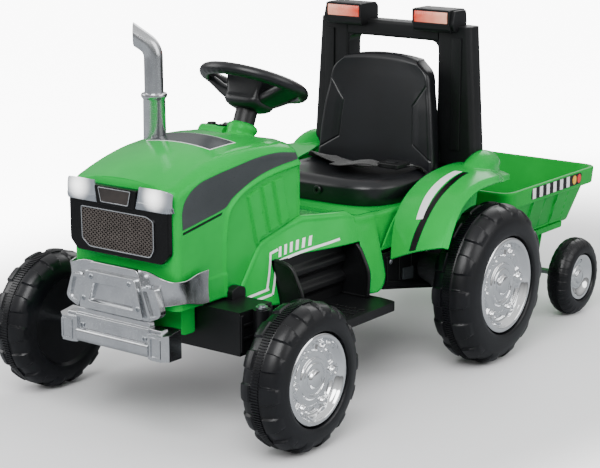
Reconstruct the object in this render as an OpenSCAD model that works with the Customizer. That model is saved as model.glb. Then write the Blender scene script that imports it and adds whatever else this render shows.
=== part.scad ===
// Child's battery ride-on tractor with a towed two-wheel trailer.
// Millimetres, +Z up, forward is -Y, the tractor's left side is +X.
// Modules are drawn from the front axle; place() moves them so that the
// origin is the middle of the whole object's footprint.

/* [Wheels] */
// Diameter of a front tyre
front_d = 250; // [236:2:254]
// Width of a front tyre
front_w = 80; // [70:2:82]
// Diameter of a rear tyre
rear_d = 304; // [290:2:308]
// Width of a rear tyre
rear_w = 90; // [80:2:92]
// Diameter of a trailer tyre
trailer_d = 160; // [150:2:164]
// Width of a trailer tyre
trailer_w = 50; // [44:2:54]

/* [Axles] */
// Distance between the front and rear axles
wheelbase = 596; // [592:1:600]
// Distance from the front axle to the trailer axle
trailer_axle_y = 975; // [965:1:985]
// Diameter of every steel axle, kingpin and shaft
rod_d = 12; // [10:1:12]
// Distance from the middle to a kingpin
kingpin_x = 200; // [198:1:202]
// Steering arm length, kingpin to tie rod
arm_l = 70; // [68:1:72]

/* [Body] */
// Half width of the hood
hood_hw = 115; // [112:1:116]
// Height of the hood's crown
hood_top = 485; // [480:1:490]
// Wall thickness of the moulded shells
wall = 3.5; // [3:0.5:4]
// Height of the deck that the seat stands on
deck_z = 303; // [300:1:304]
// Half width of the seat
seat_hw = 140; // [130:1:142]
// Top of the seat back
seat_top = 560; // [540:5:570]

/* [Steering] */
// Lean of the steering column from upright
column_lean = 24; // [22:1:25]
// Outer diameter of the steering wheel
wheel_d = 196; // [180:2:200]

/* [Roll bar] */
// Height of the top of the light boxes
bar_top = 650; // [630:5:660]
// Half width of the roll bar at its top
bar_hw = 175; // [165:1:180]

/* [Trailer] */
// Half width of the tub's rim
tub_hw = 188; // [180:1:190]
// Front of the tub's rim, from the front axle
tub_y0 = 812; // [808:1:820]
// Rear of the tub's rim, from the front axle
tub_y1 = 1196; // [1180:2:1200]
// Height of the tub's rim
tub_z = 271; // [260:1:280]

/* [Hidden] */
$fn = 48;

green = "#2bd65a";
black = "#1c1d20";
steel = "#9aa0a6";
silver = "#c8cbcf";
chrome = "#e6e8ea";

bumper_front = -150;
y_mid = (tub_y1 + bumper_front) / 2;
rod_r = rod_d / 2;
fit = 0.05;          // running clearance on a radius
gap = 0.5;           // space between neighbouring pieces
front_x = 240;       // inner face of a front tyre
rear_x = 228;        // inner face of a rear tyre
trailer_x = 226;     // inner face of a trailer tyre
front_z = front_d / 2;
rear_z = rear_d / 2;
trailer_z = trailer_d / 2;
hood_y = [-112, 220];            // front and rear of the hood
column_at = [0, 203, 479];       // where the column's axis meets the hood
rim_up = 88.7;                   // steering wheel rim, along the column
hitch_y = 760;
hitch_z = 168;
crank_r = arm_l * sin(20) / sin(45);
crank_down = -360.3;             // crank arm, along the column
seat_y = [415, 665];
bar_y = [668, 714];
stack_at = [-80, 60];
stack_foot = hood_top - 10.5;
stack_bend_r = 32;
stack_bend_z = 607;

module place() translate([0, -y_mid, 0]) children();
module right_side() mirror([1, 0, 0]) children();
module both() { children(); mirror([1, 0, 0]) children(); }
module on_column(up) translate(column_at) rotate([-column_lean, 0, 0]) translate([0, 0, up]) children();
module along_x(x, y, z) translate([x, y, z]) rotate([90, 0, 90]) children();
module rod_x(x0, x1, y, z, r) along_x(x0, y, z) cylinder(r = r, h = x1 - x0);
module block(a, b) translate(a) cube(b - a);

// Solid through rings of points, each ring anticlockwise seen from ahead
module loft(rings) {
  n = len(rings[0]);
  m = len(rings);
  polyhedron(points = [for (r = rings) each r], faces = concat(
    [[for (i = [0:n - 1]) i]],
    [[for (i = [n - 1:-1:0]) (m - 1) * n + i]],
    [for (j = [0:m - 2], i = [0:n - 1])
      [j * n + i, (j + 1) * n + i, (j + 1) * n + (i + 1) % n, j * n + (i + 1) % n]]), convexity = 6);
}
// Half of an arched section, wall foot to crown
function half_arch(wb, wt, z0, z1, r, crown) = concat([[wb, z0]],
  [for (a = [0:15:90]) [wt - r + r * cos(a), z1 - r + r * sin(a)]],
  [for (t = [0.75:-0.25:0]) [(wt - r) * t, z1 + crown * (1 - t * t)]]);
// Section across the body at y: foot and top half widths, foot and top heights, corner, crown
function arch(y, wb, wt, z0, z1, r, crown) = let (s = half_arch(wb, wt, z0, z1, r, crown), n = len(s))
  concat([for (p = s) [-p[0], y, p[1]]], [for (i = [n - 2:-1:0]) [s[i][0], y, s[i][1]]]);
// Rounded rectangle at height z
function round_rect(z, hw, y0, y1, r) = [for (c = [[1, 1, 0], [-1, 1, 90], [-1, -1, 180], [1, -1, 270]],
  a = [0:15:90]) [c[0] * (hw - r) + r * cos(a + c[2]),
    (c[1] > 0 ? y1 - r : y0 + r) + r * sin(a + c[2]), z]];

function hood_foot(y) = lookup(y, [[46, 228], [105, 303], [220, 329]]);
function hood_shoulder(y) = hood_top - 15 - lookup(y, [[-112, 40], [-60, 24], [0, 10], [60, 2], [130, 0],
  [190, 6], [212, 18], [220, 30]]);
function hood_corner(y) = lookup(y, [[-112, 22], [-60, 30], [60, 44], [190, 50], [220, 46]]);
function hood_ring(y, t, drop) = arch(y, hood_hw - t, hood_hw - t, hood_foot(y) - drop,
  hood_shoulder(y) - t, hood_corner(y) - t, 13);

function body_foot(y) = y > 395.5 ? 234 : lookup(y, [[50, 200], [350, 171]]);
function body_top(y) = y < 220 ? hood_foot(y) - gap : lookup(y, [[220, 328], [321, 320], [415, deck_z]]);
function foot_hw(y) = y > 395.5 ? 158 : lookup(y, [[50, 120], [100, 135], [150, 150], [215, 165],
  [260, 175], [350, 187]]);
function top_hw(y) = lookup(y, [[50, 115], [215, 115], [260, 132], [321, 147], [396, 148], [735, 146]]);
function body_ring(y, yr, t, drop) = arch(yr, foot_hw(y) - t, top_hw(y) - t, body_foot(y) - drop,
  body_top(y) - t, lookup(y, [[50, 6], [215, 8], [321, 14], [735, 16]]), 0);

// Fender surface, by angle about the rear axle: 180 is forward, 90 is up
function fender_in(a) = [lookup(a, [[50, 165], [75, 160], [88, 152], [110, 152], [135, 162], [160, 187]]),
  lookup(a, [[50, 231], [60, 226], [75, 212], [88, 201], [110, 198], [135, 206], [160, 214]])];
function fender_out(a) = [232, lookup(a, [[50, 230], [56, 208], [73, 182], [100, 180], [140, 192], [160, 206]])];
function fender_pt(a, s, t) = let (i = fender_in(a), o = fender_out(a),
    r = i[1] + (o[1] - i[1]) * s + 6 * sin(180 * s) - t)
  [i[0] + (o[0] - i[0]) * s, wheelbase + r * cos(a), rear_z + r * sin(a)];
function fender_ring(a) = concat([for (s = [0:0.2:1]) fender_pt(a, s, 0)],
  [for (s = [1:-0.2:0]) fender_pt(a, s, 4)]);

// Tyre along +X from its inner face: dish for the cover outside, recess for the drive inside
module tyre(r, w, dish_r, dish, bore) {
  turn = [[bore, 12], [dish_r * 0.5, 12], [dish_r * 0.55, 3], [dish_r + 4, 1], [(r + dish_r) / 2, 0],
    [r - 12, 6], [r - 3, w * 0.22], [r, w * 0.4], [r, w * 0.6], [r - 3, w * 0.78], [r - 12, w - 6],
    [(r + dish_r) / 2, w], [dish_r + 3, w - 2], [dish_r, w - 6], [dish_r, w - dish], [bore, w - dish]];
  color(black) rotate([0, 90, 0]) rotate_extrude($fn = 96) polygon(turn);
}
// Pressed cover: rim bead, dished web and a hollow hub cap over the axle's end
module cover(r, dish) {
  turn = [[0, -5], [r * 0.26, -6], [r * 0.3, -9], [r * 0.32, -15], [r * 0.6, -15], [r * 0.78, -11],
    [r * 0.86, -5], [r * 0.97, -4], [r, -6], [r, gap - dish], [r - 3, gap - dish], [r - 3, -8],
    [r * 0.87, -9], [r * 0.79, -14], [r * 0.6, -18], [r * 0.29, -18], [r * 0.27, -12], [r * 0.24, -9], [0, -8]];
  color(chrome) rotate([0, 90, 0]) rotate_extrude($fn = 96) polygon(turn);
}
module front_tyre() place() translate([front_x, 0, front_z]) tyre(front_z, front_w, 79.5, 22, rod_r + fit);
module front_cover() place() translate([front_x + front_w, 0, front_z]) cover(79, 22);
module rear_tyre() place() translate([rear_x, wheelbase, rear_z]) tyre(rear_z, rear_w, 93.5, 22, rod_r + fit);
module rear_cover() place() translate([rear_x + rear_w, wheelbase, rear_z]) cover(93, 22);
module trailer_tyre() place() translate([trailer_x, trailer_axle_y, trailer_z])
  tyre(trailer_z, trailer_w, 49, 20, rod_r + fit);
module trailer_cover() place() translate([trailer_x + trailer_w, trailer_axle_y, trailer_z]) cover(48.5, 20);
module front_tyre_left() front_tyre();
module front_cover_left() front_cover();
module front_tyre_right() right_side() front_tyre();
module front_cover_right() right_side() front_cover();
module rear_tyre_left() rear_tyre();
module rear_cover_left() rear_cover();
module rear_tyre_right() right_side() rear_tyre();
module rear_cover_right() right_side() rear_cover();
module trailer_tyre_left() trailer_tyre();
module trailer_cover_left() trailer_cover();
module trailer_tyre_right() right_side() trailer_tyre();
module trailer_cover_right() right_side() trailer_cover();

// Axle beam with kingpin sleeves, side rails, equipment tray and the drive box round the rear axle
module chassis() color(black) place() difference() {
  union() {
    difference() {
      block([-188, -42, 150], [188, 42, 224]);
      block([-184, -38, 145], [184, 38, 219]);
    }
    for (x = [-120, -60, 60, 120]) block([x - 2, -40, 152], [x + 2, 40, 221]);
    both() translate([kingpin_x, 0, 146]) cylinder(r = 15, h = 78);
    both() block([85, 41, 190], [95, 111, 224]);
    difference() {
      block([-95, 110, 150], [95, 397, 204]);
      block([-91, 114, 154], [91, 398, 205]);
    }
    difference() {
      along_x(-170, 0, 0) linear_extrude(340) polygon([[396, 164], [500, 144], [560, 132], [700, 132],
        [700, 231], [396, 231]]);
      along_x(-166, 0, 0) linear_extrude(332) polygon([[400, 168], [501, 148], [561, 136], [696, 136],
        [696, 232], [400, 232]]);
      block([-91, 390, 168], [91, 401, 232]);
    }
  }
  both() translate([kingpin_x, 0, 140]) cylinder(r = rod_r + fit, h = 100);
  rod_x(-171, 171, wheelbase, rear_z, rod_r + gap);
  both() rod_x(160, 171, wheelbase - 62, rear_z + 30, 19);
}

module body_shell() color(green) place() difference() {
  ys = [50, 75, 105, 150, 215, 221, 260, 321, 350, 395, 396, seat_y[0], 460, 600, 735];
  loft([for (y = ys) body_ring(y, y, 0, 0)]);
  loft([for (y = ys) body_ring(y, y < 51 ? y - 1 : y > 392 && y < 397 || y > 734 ? y - wall : y, wall, 6)]);
  block([-85, 40, 205], [85, 200, 345]);
  both() block([124, 124, 150], [200, 331, 267]);
  block([-96, 388, 160], [96, 397, 205]);
  translate([60, 725, 285]) rotate([-90, 0, 0]) cylinder(r = 8 + gap, h = 20);
}
module front_valance() color(green) place() difference() {
  block([-110, -78, 186], [110, -44, 224]);
  block([-106, -74, 180], [106, -43, 219]);
}
module hood() color(green) place() difference() {
  ys = [hood_y[0], -60, 0, 46, 75, 105, 150, 190, 212, hood_y[1]];
  loft([for (y = ys) hood_ring(y, 0, 0)]);
  loft([for (y = ys) hood_ring(min(max(y, hood_y[0] + wall), hood_y[1] - wall), wall, 8)]);
  on_column(-40) cylinder(r = 9, h = 60);
}
module front_fascia() color(black) place() difference() {
  block([-110, -124, 306], [110, -112 - gap, 424]);
  block([-74, -125, 326], [74, -112, 374]);
}
// Perforated plate with slanting rows of round holes inside a plain frame
module grille() color(silver) place() translate([0, -124 - gap, 349.5]) rotate([90, 0, 0]) {
  difference() {
    linear_extrude(5) polygon([[-78, -22], [-68, -28], [68, -28], [78, -22], [78, 28], [-78, 28]]);
    translate([0, 0, -1]) linear_extrude(7) polygon([[-72, -19], [-65, -23], [65, -23], [72, -19], [72, 23],
      [-72, 23]]);
  }
  linear_extrude(2) difference() {
    polygon([[-73, -19], [-65, -24], [65, -24], [73, -19], [73, 24], [-73, 24]]);
    for (i = [-7:7], j = [-2:2]) translate([i * 9 + (j % 2) * 4.5, j * 8.5]) circle(d = 5.5, $fn = 16);
  }
}
module badge_panel() color("#4a4540") place() translate([0, -124 - gap, 410]) rotate([90, 0, 0])
  linear_extrude(3) polygon([[-29, -11.5], [29, -11.5], [35, 11.5], [-35, 11.5]]);
// Clear lenses that wrap round the front corners
module headlights() color("#eef2f4") place() both() {
  along = [[45, -124 - gap], [42, -132], [100, -132], [110, -129.5], [114.5, -122], [114.5, -113],
    [110 + gap, -113], [110 + gap, -124 - gap]];
  translate([0, 0, 392]) linear_extrude(38) polygon(along);
}

module bumper_screw_holes(r, deep) for (x = [-38, 38], z = [222, 284]) translate([x, -141, z])
  rotate([-90, 0, 0]) cylinder(r = r, h = deep);
// Band round the nose with a raised middle plate
module bumper_wrap() color(silver) place() difference() {
  union() {
    translate([0, 0, 232]) linear_extrude(66) difference() {
      polygon([[-128, -46], [-126, -110], [-112, -130], [112, -130], [126, -110], [128, -46]]);
      polygon([[-hood_hw - gap, -45], [-hood_hw - gap, -112 - gap], [hood_hw + gap, -112 - gap],
        [hood_hw + gap, -45]]);
    }
    translate([0, -129.5, 0]) rotate([90, 0, 0]) linear_extrude(10.5)
      polygon([[-56, 193.5], [56, 193.5], [50, 302], [-50, 302]]);
  }
  translate([0, -137, 0]) rotate([90, 0, 0]) linear_extrude(10)
    polygon([[-36, 232], [36, 232], [30, 276], [-30, 276]]);
  bumper_screw_holes(2.5, 8);
}
module bumper_bar() color(silver) place() difference() {
  union() {
    along = [[-120, -112], [-120, -138], [-108, -148], [108, -148], [120, -138], [120, -112], [100, -112],
      [96, -122], [-96, -122], [-100, -112]];
    translate([0, 0, 150]) linear_extrude(43) polygon(along);
    block([-60, -122.2, 160], [60, -78 - gap, 184]);
  }
  block([-52, -149, 162], [52, -144, 182]);
  for (x = [-66, 66]) translate([x, -149, 171]) rotate([-90, 0, 0]) cylinder(r = 2.5, h = 12);
}
// Button-head screws: four in the plate and two in the bar
module bumper_screws() color(steel) place() {
  for (x = [-38, 38], z = [222, 284]) translate([x, -140.2, z]) rotate([90, 0, 0]) {
    cylinder(r = 4.5, h = 2.5);
    translate([0, 0, -6]) cylinder(r = 2.2, h = 6);
  }
  for (x = [-66, 66]) translate([x, -148.2, 171]) rotate([90, 0, 0]) {
    cylinder(r = 4.5, h = 1.8);
    translate([0, 0, -9]) cylinder(r = 2.2, h = 9);
  }
}

// Ring of the stack's upper pipe: turned by b in the bend's plane, then run on along the pipe
function stack_ring(b, r, run = 0) = [for (a = [0:15:345]) let (out = stack_bend_r + r * cos(a))
  [stack_bend_r - out * cos(b) + run * sin(b), -r * sin(a), stack_bend_z + out * sin(b) + run * cos(b)]];
// The same ring run on to the upright plane of the mouth
function stack_mouth(b, r, x) = [for (p = stack_ring(b, r)) let (run = (x - p[0]) / sin(b))
  [x, p[1], p[2] + run * cos(b)]];
// Upright pipe with a collar, a bend and a mouth cut off upright
module exhaust_stack() color(silver) place() translate([stack_at[0], stack_at[1], 0]) rotate([0, 0, 217])
  difference() {
    turns = [0:11:55];
    union() {
      translate([0, 0, stack_foot]) cylinder(r = 25, h = 5);
      translate([0, 0, stack_foot + 5]) cylinder(r = 19.5, h = 59);
      translate([0, 0, stack_foot + 64]) cylinder(r = 22, h = 8);
      loft([stack_ring(0, 16.5, stack_foot + 72 - stack_bend_z), for (b = turns) stack_ring(b, 16.5),
        stack_mouth(55, 16.5, 33.5)]);
    }
    loft([stack_ring(33, 13.5), stack_ring(44, 13.5), stack_ring(55, 13.5), stack_mouth(55, 13.5, 36)]);
  }

module dash_panel() color(green) place() difference() {
  along_x(-76, 0, 0) linear_extrude(56) polygon([[160, 482], [190, 478], [212, 466], [219, 478],
    [208, 491], [172, 498]]);
  translate([-62, 191, 488]) cylinder(r = 9 + gap, h = 20);
  block([-43, 176, 487], [-24, 206, 510]);
}
module power_button() color("#c23b30") place() translate([-62, 191, 490.5]) cylinder(r = 9, h = 8);
// Rocker with its own pivot pin
module direction_switch() color(black) place() {
  block([-42, 178, 492], [-25, 204, 499]);
  rod_x(-42.4, -24.6, 191, 494, 1.8);
}
module column_collar() color(green) place() difference() {
  hull() {
    translate([0, 187, hood_top - 1.5]) cylinder(r = 34, h = 1.5, $fn = 32);
    on_column(24) cylinder(r = 24, h = 1, $fn = 32);
  }
  on_column(-10) cylinder(r = 19 + gap, h = 60);
  block([-40, 150, 470], [-19.5, 240, 520]);
}
module column_tube() color(black) place() on_column(3) difference() {
  cylinder(r = 19, h = 37);
  translate([0, 0, -1]) cylinder(r = rod_r + fit, h = 40);
}
// Rim, three spokes and a hub with two button pockets
module steering_wheel() color(black) place() on_column(0) difference() {
  union() {
    translate([0, 0, rim_up]) rotate_extrude($fn = 72) translate([wheel_d / 2 - 11, 0]) circle(r = 11, $fn = 24);
    translate([0, 0, 42]) cylinder(r = 22, h = 40);
    translate([0, 0, 76]) cylinder(r = 34, h = 18);
    for (a = [0, 90, 180]) rotate([0, 0, a]) block([20, -16, 80], [wheel_d / 2 - 14, 16, 90]);
  }
  translate([0, 0, 41]) cylinder(r = rod_r + gap, h = 24);
  for (x = [-16, 16]) translate([x, 0, 85]) cylinder(r = 9 + gap, h = 12);
}
module button(x) place() on_column(88.5) translate([x, 0, 0]) cylinder(r = 9, h = 9);
module horn_button() color("#d9b02c") button(16);
module music_button() color("#3b6fb5") button(-16);
// Straight shaft, bent crank and the crank's pin
module steering_shaft() color(steel) place() on_column(0) {
  translate([0, 0, crank_down]) cylinder(r = rod_r, h = 424);
  translate([0, 0, crank_down]) rotate([-90, 0, 0]) cylinder(r = rod_r, h = crank_r);
  translate([0, crank_r, crank_down - 22]) cylinder(r = 4, h = 22);
  translate([0, crank_r, crank_down]) sphere(r = rod_r);
  translate([0, 0, crank_down]) sphere(r = rod_r);
}
// Upright slot that runs from the origin towards -Y
module slot(r, run, h) {
  cylinder(r = r, h = h);
  translate([0, -run, 0]) cylinder(r = r, h = h);
  translate([-r, -run, 0]) cube([2 * r, run, h]);
}
// Bar with an eye at each end and a slotted plate for the crank pin
module tie_rod() color(steel) place() difference() {
  union() {
    rod_x(-kingpin_x, kingpin_x, arm_l, 131, 5);
    both() block([kingpin_x - 12, arm_l - 14, 127], [kingpin_x + 12, arm_l + 12, 135]);
    on_column(crank_down - 12) block([-13, crank_r - 19, -2.5], [13, crank_r + 12, 2.5]);
  }
  both() translate([kingpin_x, arm_l, 125]) slot(5.2, 5, 14);
  on_column(crank_down - 20) translate([0, crank_r, 0]) slot(5.6, 10.5, 16);
}
// Kingpin, stub axle with its end washer, and the steering arm with its pin
module knuckle() color(steel) place() {
  translate([kingpin_x, 0, front_z - rod_r]) cylinder(r = rod_r, h = 112);
  translate([kingpin_x, 0, 225]) cylinder(r = 10, h = 3);
  rod_x(kingpin_x, front_x + front_w - 21.5, 0, front_z, rod_r);
  rod_x(front_x + front_w - 21.5, front_x + front_w - 19, 0, front_z, 10);
  block([kingpin_x - 8, 0, 119.5], [kingpin_x + 8, arm_l + 8, 125.5]);
  translate([kingpin_x, arm_l, 125]) cylinder(r = 4, h = 18);
}
module knuckle_left() knuckle();
module knuckle_right() right_side() knuckle();

module rear_axle() color(steel) place() {
  end = rear_x + rear_w - 21.5;
  rod_x(-end, end, wheelbase, rear_z, rod_r);
  both() rod_x(end, end + 2.5, wheelbase, rear_z, 10);
}
module gearboxes() color(black) place() both() difference() {
  union() {
    along_x(171, wheelbase, rear_z) linear_extrude(44) hull() {
      circle(r = 34, $fn = 32);
      translate([-62, 30]) circle(r = 26, $fn = 32);
    }
    rod_x(171, rear_x + 9, wheelbase, rear_z, 20);
  }
  rod_x(170, rear_x + 10, wheelbase, rear_z, rod_r + gap);
}
module motors() color(steel) place() both() {
  rod_x(108, 170.5, wheelbase - 62, rear_z + 30, 18);
  rod_x(104, 108, wheelbase - 62, rear_z + 30, 6);
}

module fender() color(green) place() {
  loft([for (a = [160:-10:60]) fender_ring(a), fender_ring(55), fender_ring(50)]);
  intersection() {
    along_x(159.5, wheelbase, rear_z) linear_extrude(4) difference() {
      polygon([for (a = [50:8:138]) [cos(a), sin(a)] * (fender_in(a)[1] - 1), [cos(150), sin(150)] * 180]);
      circle(r = 165);
    }
    block([150, 400, 236], [190, 760, 400]);
  }
  hull() for (y = [702, 724]) translate([205, y, 345]) sphere(r = 26, $fn = 32);
}
module fender_left() fender();
module fender_right() right_side() fender();
// Riser with two ribs, end cheeks and the tread board
module step() color(black) place() {
  block([126, 126, 166], [131, 329, 265]);
  block([126, 150, 160], [131, 329, 167]);
  for (z = [200, 236]) translate([131, 132, z]) rotate([-90, 0, 0]) cylinder(r = 7, h = 191);
  for (y = [126, 323]) translate([0, y + 6, 0]) rotate([90, 0, 0]) linear_extrude(6)
    polygon([[131, 168], [182, 168], [184, 215], [162, 262], [131, 265]]);
  block([100, 150, 150], [238, 345, 166]);
  for (x = [168, 190, 212]) for (y = [180:18:216]) block([x, y, 165.5], [x + 14, y + 6, 167]);
}
module step_left() step();
module step_right() difference() {
  right_side() {
    step();
    for (x = [166, 226]) color(black) place() block([x, 296, 165], [x + 6, 312, 182]);
  }
  place() rod_x(-240, -160, 304, 174, 3 + fit);
}
// Tread plate with its hinge pin
module pedal() color(black) place() {
  translate([-224, 304, 174]) rotate([-12, 0, 0]) block([0, -88, -3], [50, 0, 4]);
  rod_x(-231, -167, 304, 174, 3);
}

module seat() color(black) place() difference() {
  union() {
    hull() for (x = [-1, 1], y = [seat_y[0] + 45, seat_y[1] - 30]) translate([x * (seat_hw - 45), y, 0]) {
      translate([0, 0, deck_z + gap]) cylinder(r = y < 500 ? 45 : 30, h = 24, $fn = 32);
      translate([0, 0, deck_z + 30]) cylinder(r = y < 500 ? 34 : 24, h = 17, $fn = 32);
    }
    hull() for (x = [-1, 1]) {
      translate([x * 104, 622, deck_z + 40]) sphere(r = 16, $fn = 32);
      translate([x * 104, 640, deck_z + 40]) sphere(r = 16, $fn = 32);
      translate([x * 86, 650, seat_top - 15]) sphere(r = 15, $fn = 32);
    }
  }
  translate([0, 425, 327]) rotate([90, 0, 0]) cylinder(r = 4 + gap, h = 30, center = true);
}
module seat_screw() color(steel) place() translate([0, 414.5, 327]) rotate([-90, 0, 0]) {
  cylinder(r = 4, h = 22);
  translate([0, 0, -2]) cylinder(r = 7, h = 2);
}
module seat_belt() color("#2a2a2c") place() {
  block([-118, 545, 350.6], [58, 585, 354]);
  both() block([112, 540, deck_z + 47.6], [118, 590, deck_z + 56]);
}
module belt_buckle() color(black) place() block([58.5, 541, 350.6], [111.5, 589, 366]);

module roll_bar() color(black) place() difference() {
  hull() {
    block([-192, bar_y[0], 368], [192, bar_y[1], 372]);
    block([-bar_hw, bar_y[0], 600], [bar_hw, bar_y[1], 618]);
  }
  block([-105, bar_y[0] - 1, 420], [105, bar_y[1] + 1, 586]);
}
// Legs of the roll bar that stand on the deck, and the boxes for its lamps
module roll_bar_all() {
  roll_bar();
  color(black) place() both() {
    block([106, bar_y[0] + 4, deck_z + gap], [140, bar_y[1] - 4, 369]);
    block([60, bar_y[0] - 16, 617], [144, bar_y[1] - 6, bar_top]);
    block([60, bar_y[0] - 12, 606], [144, bar_y[0] + 1, 618]);
  }
}
module roof_lights() color("#e2603c") place() both()
  block([64, bar_y[0] - 20, 626], [140, bar_y[0] - 16 - gap, 644]);

module battery() color("#33363b") place() {
  block([-75, 232, 154 + gap], [75, 297, 245]);
  for (x = [-62, 62]) block([x - 4, 240, 244.9], [x + 4, 247, 251]);
}
module control_box() color("#3a3d42") place() block([-55, 320, 154 + gap], [55, 385, 190]);
module charge_socket() color(black) place() translate([60, 735 + gap, 285]) rotate([90, 0, 0]) difference() {
  union() {
    cylinder(r = 8, h = 16);
    translate([0, 0, -4]) cylinder(r = 13, h = 4);
  }
  translate([0, 0, -5]) cylinder(r = 3, h = 18);
}
module hitch_bracket() color(steel) place() difference() {
  union() {
    block([-24, 700 + gap, 140], [24, 705, 200]);
    block([-20, 704, hitch_z - 8], [20, hitch_y + 14, hitch_z]);
  }
  translate([0, hitch_y, hitch_z - 10]) cylinder(r = rod_r + gap, h = 20);
}
module hitch_pin() color(steel) place() translate([0, hitch_y, 0]) {
  translate([0, 0, hitch_z - 20]) cylinder(r = rod_r, h = 38);
  translate([0, 0, hitch_z + 16]) cylinder(r = 11, h = 4);
}
module drawbar() color(black) place() difference() {
  union() {
    translate([0, hitch_y, hitch_z + gap]) cylinder(r = 17, h = 14);
    block([-14, hitch_y, hitch_z + gap], [14, 848, hitch_z + 14]);
    block([-40, 836, 143], [40, 1000, 153.5]);
    block([-14, 836, 150], [14, 848, hitch_z + 14]);
  }
  translate([0, hitch_y, hitch_z - 1]) cylinder(r = rod_r + fit, h = 20);
}
// Tapered open tub with a turned-out rim, and the two legs that carry the axle
module trailer_tub() color(green) place() difference() {
  union() {
    loft([round_rect(154, 150, 862, 1150, 24), round_rect(tub_z - 34, 172, tub_y0 + 20, tub_y1 - 20, 30),
      round_rect(tub_z - 33.9, tub_hw - 2, tub_y0 + 2, tub_y1 - 2, 34), round_rect(tub_z, tub_hw, tub_y0, tub_y1, 36)]);
    both() along_x(140, 0, 0) linear_extrude(9) polygon([[925, 155], [1030, 155], [1000, 64], [950, 64]]);
  }
  loft([round_rect(158, 146.5, 866, 1146, 21), round_rect(tub_z + 1, 180, tub_y0 + 9, tub_y1 - 9, 30)]);
  rod_x(-160, 160, trailer_axle_y, trailer_z, rod_r + gap);
}
module trailer_axle() color(steel) place() {
  end = trailer_x + trailer_w - 19.5;
  rod_x(-end, end, trailer_axle_y, trailer_z, rod_r);
  both() rod_x(end, end + 2, trailer_axle_y, trailer_z, 10);
}

chassis();
body_shell();
front_valance();
hood();
front_fascia();
grille();
badge_panel();
headlights();
bumper_wrap();
bumper_bar();
bumper_screws();
exhaust_stack();
dash_panel();
power_button();
direction_switch();
column_collar();
column_tube();
steering_wheel();
steering_shaft();
horn_button();
music_button();
tie_rod();
knuckle_left();
knuckle_right();
front_tyre_left();
front_cover_left();
front_tyre_right();
front_cover_right();
rear_axle();
rear_tyre_left();
rear_cover_left();
rear_tyre_right();
rear_cover_right();
gearboxes();
motors();
fender_left();
fender_right();
step_left();
step_right();
pedal();
seat();
seat_screw();
seat_belt();
belt_buckle();
roll_bar_all();  // roll_bar
roof_lights();
battery();
control_box();
charge_socket();
hitch_bracket();
hitch_pin();
trailer_tub();
drawbar();
trailer_axle();
trailer_tyre_left();
trailer_cover_left();
trailer_tyre_right();
trailer_cover_right();
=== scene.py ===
import math
import bpy
import bmesh
import numpy as np
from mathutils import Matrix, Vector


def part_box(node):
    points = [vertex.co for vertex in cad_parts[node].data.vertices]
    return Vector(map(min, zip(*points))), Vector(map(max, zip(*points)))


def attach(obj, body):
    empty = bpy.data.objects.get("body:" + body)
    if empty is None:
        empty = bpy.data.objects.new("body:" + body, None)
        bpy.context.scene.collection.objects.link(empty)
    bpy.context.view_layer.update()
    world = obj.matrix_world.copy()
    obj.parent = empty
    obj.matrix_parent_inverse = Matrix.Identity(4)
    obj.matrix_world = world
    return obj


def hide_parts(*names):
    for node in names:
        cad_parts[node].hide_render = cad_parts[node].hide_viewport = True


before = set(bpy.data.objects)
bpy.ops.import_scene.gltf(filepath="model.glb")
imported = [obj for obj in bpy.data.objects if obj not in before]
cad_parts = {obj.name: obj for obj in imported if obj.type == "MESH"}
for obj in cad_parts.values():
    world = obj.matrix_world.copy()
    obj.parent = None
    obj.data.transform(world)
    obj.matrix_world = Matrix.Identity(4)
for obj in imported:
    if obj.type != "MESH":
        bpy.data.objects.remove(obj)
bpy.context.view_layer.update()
print("frame loaded,", len(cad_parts), "CAD nodes")

# Every size below is in millimetres from the floor under the middle of the front axle:
# +Y runs rearward, +Z up, +X to the tractor's left side.
axleY = sum(corner[1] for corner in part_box("front_tyre_left")) / 2


def nodeBox(node):  # lowest and highest corner of a CAD node, in millimetres from the front axle
    low, high = (np.array(corner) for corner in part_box(node))
    return (low - (0, axleY, 0)) * 1000, (high - (0, axleY, 0)) * 1000


def smoothStep(value, start, end):  # 0 before start, 1 after end, and 3t^2 - 2t^3 between them
    t = np.clip((value - start) / (end - start), 0, 1)
    return t * t * (3 - 2 * t)


def bump(value, centre, half, soft):  # 1 within half of the centre, falling to 0 over soft
    return 1 - smoothStep(np.abs(value - centre), half, half + soft)


def arcRounded(points, radius, steps=5):  # closed outline whose corners are quadratic curves of that size
    points = np.array(points, float)
    before, after = np.roll(points, 1, 0) - points, np.roll(points, -1, 0) - points
    radius = np.broadcast_to(radius, len(points))
    out = []
    for corner, back, ahead, size in zip(points, before, after, radius):
        start = corner + back / np.linalg.norm(back) * min(size, np.linalg.norm(back) * 0.49)
        end = corner + ahead / np.linalg.norm(ahead) * min(size, np.linalg.norm(ahead) * 0.49)
        t = np.linspace(0, 1, steps)[:, None]
        out.append((1 - t) ** 2 * start + 2 * t * (1 - t) * corner + t * t * end)
    return np.vstack(out)


def surface(grid, closeRows=False, closeCols=False, caps=False):
    # Part from a grid of points (rows, columns, 3): a quad between each four neighbours, and caps
    # are one flat face over the first and over the last row
    rows, cols = grid.shape[:2]
    row, col = np.meshgrid(np.arange(rows if closeRows else rows - 1),
                           np.arange(cols if closeCols else cols - 1), indexing="ij")
    nextRow, nextCol = (row + 1) % rows, (col + 1) % cols
    quads = np.stack([row * cols + col, row * cols + nextCol, nextRow * cols + nextCol,
                      nextRow * cols + col], -1).reshape(-1, 4)
    faces = [quads]
    if caps:
        faces += [np.arange(cols)[None, ::-1], (rows - 1) * cols + np.arange(cols)[None]]
    return grid.reshape(-1, 3), faces


def joined(*parts):  # several parts as one
    points, faces, count = [], [], 0
    for partPoints, partFaces in parts:
        points.append(partPoints)
        faces += [face + count for face in partFaces]
        count += len(partPoints)
    return np.vstack(points), faces


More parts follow.
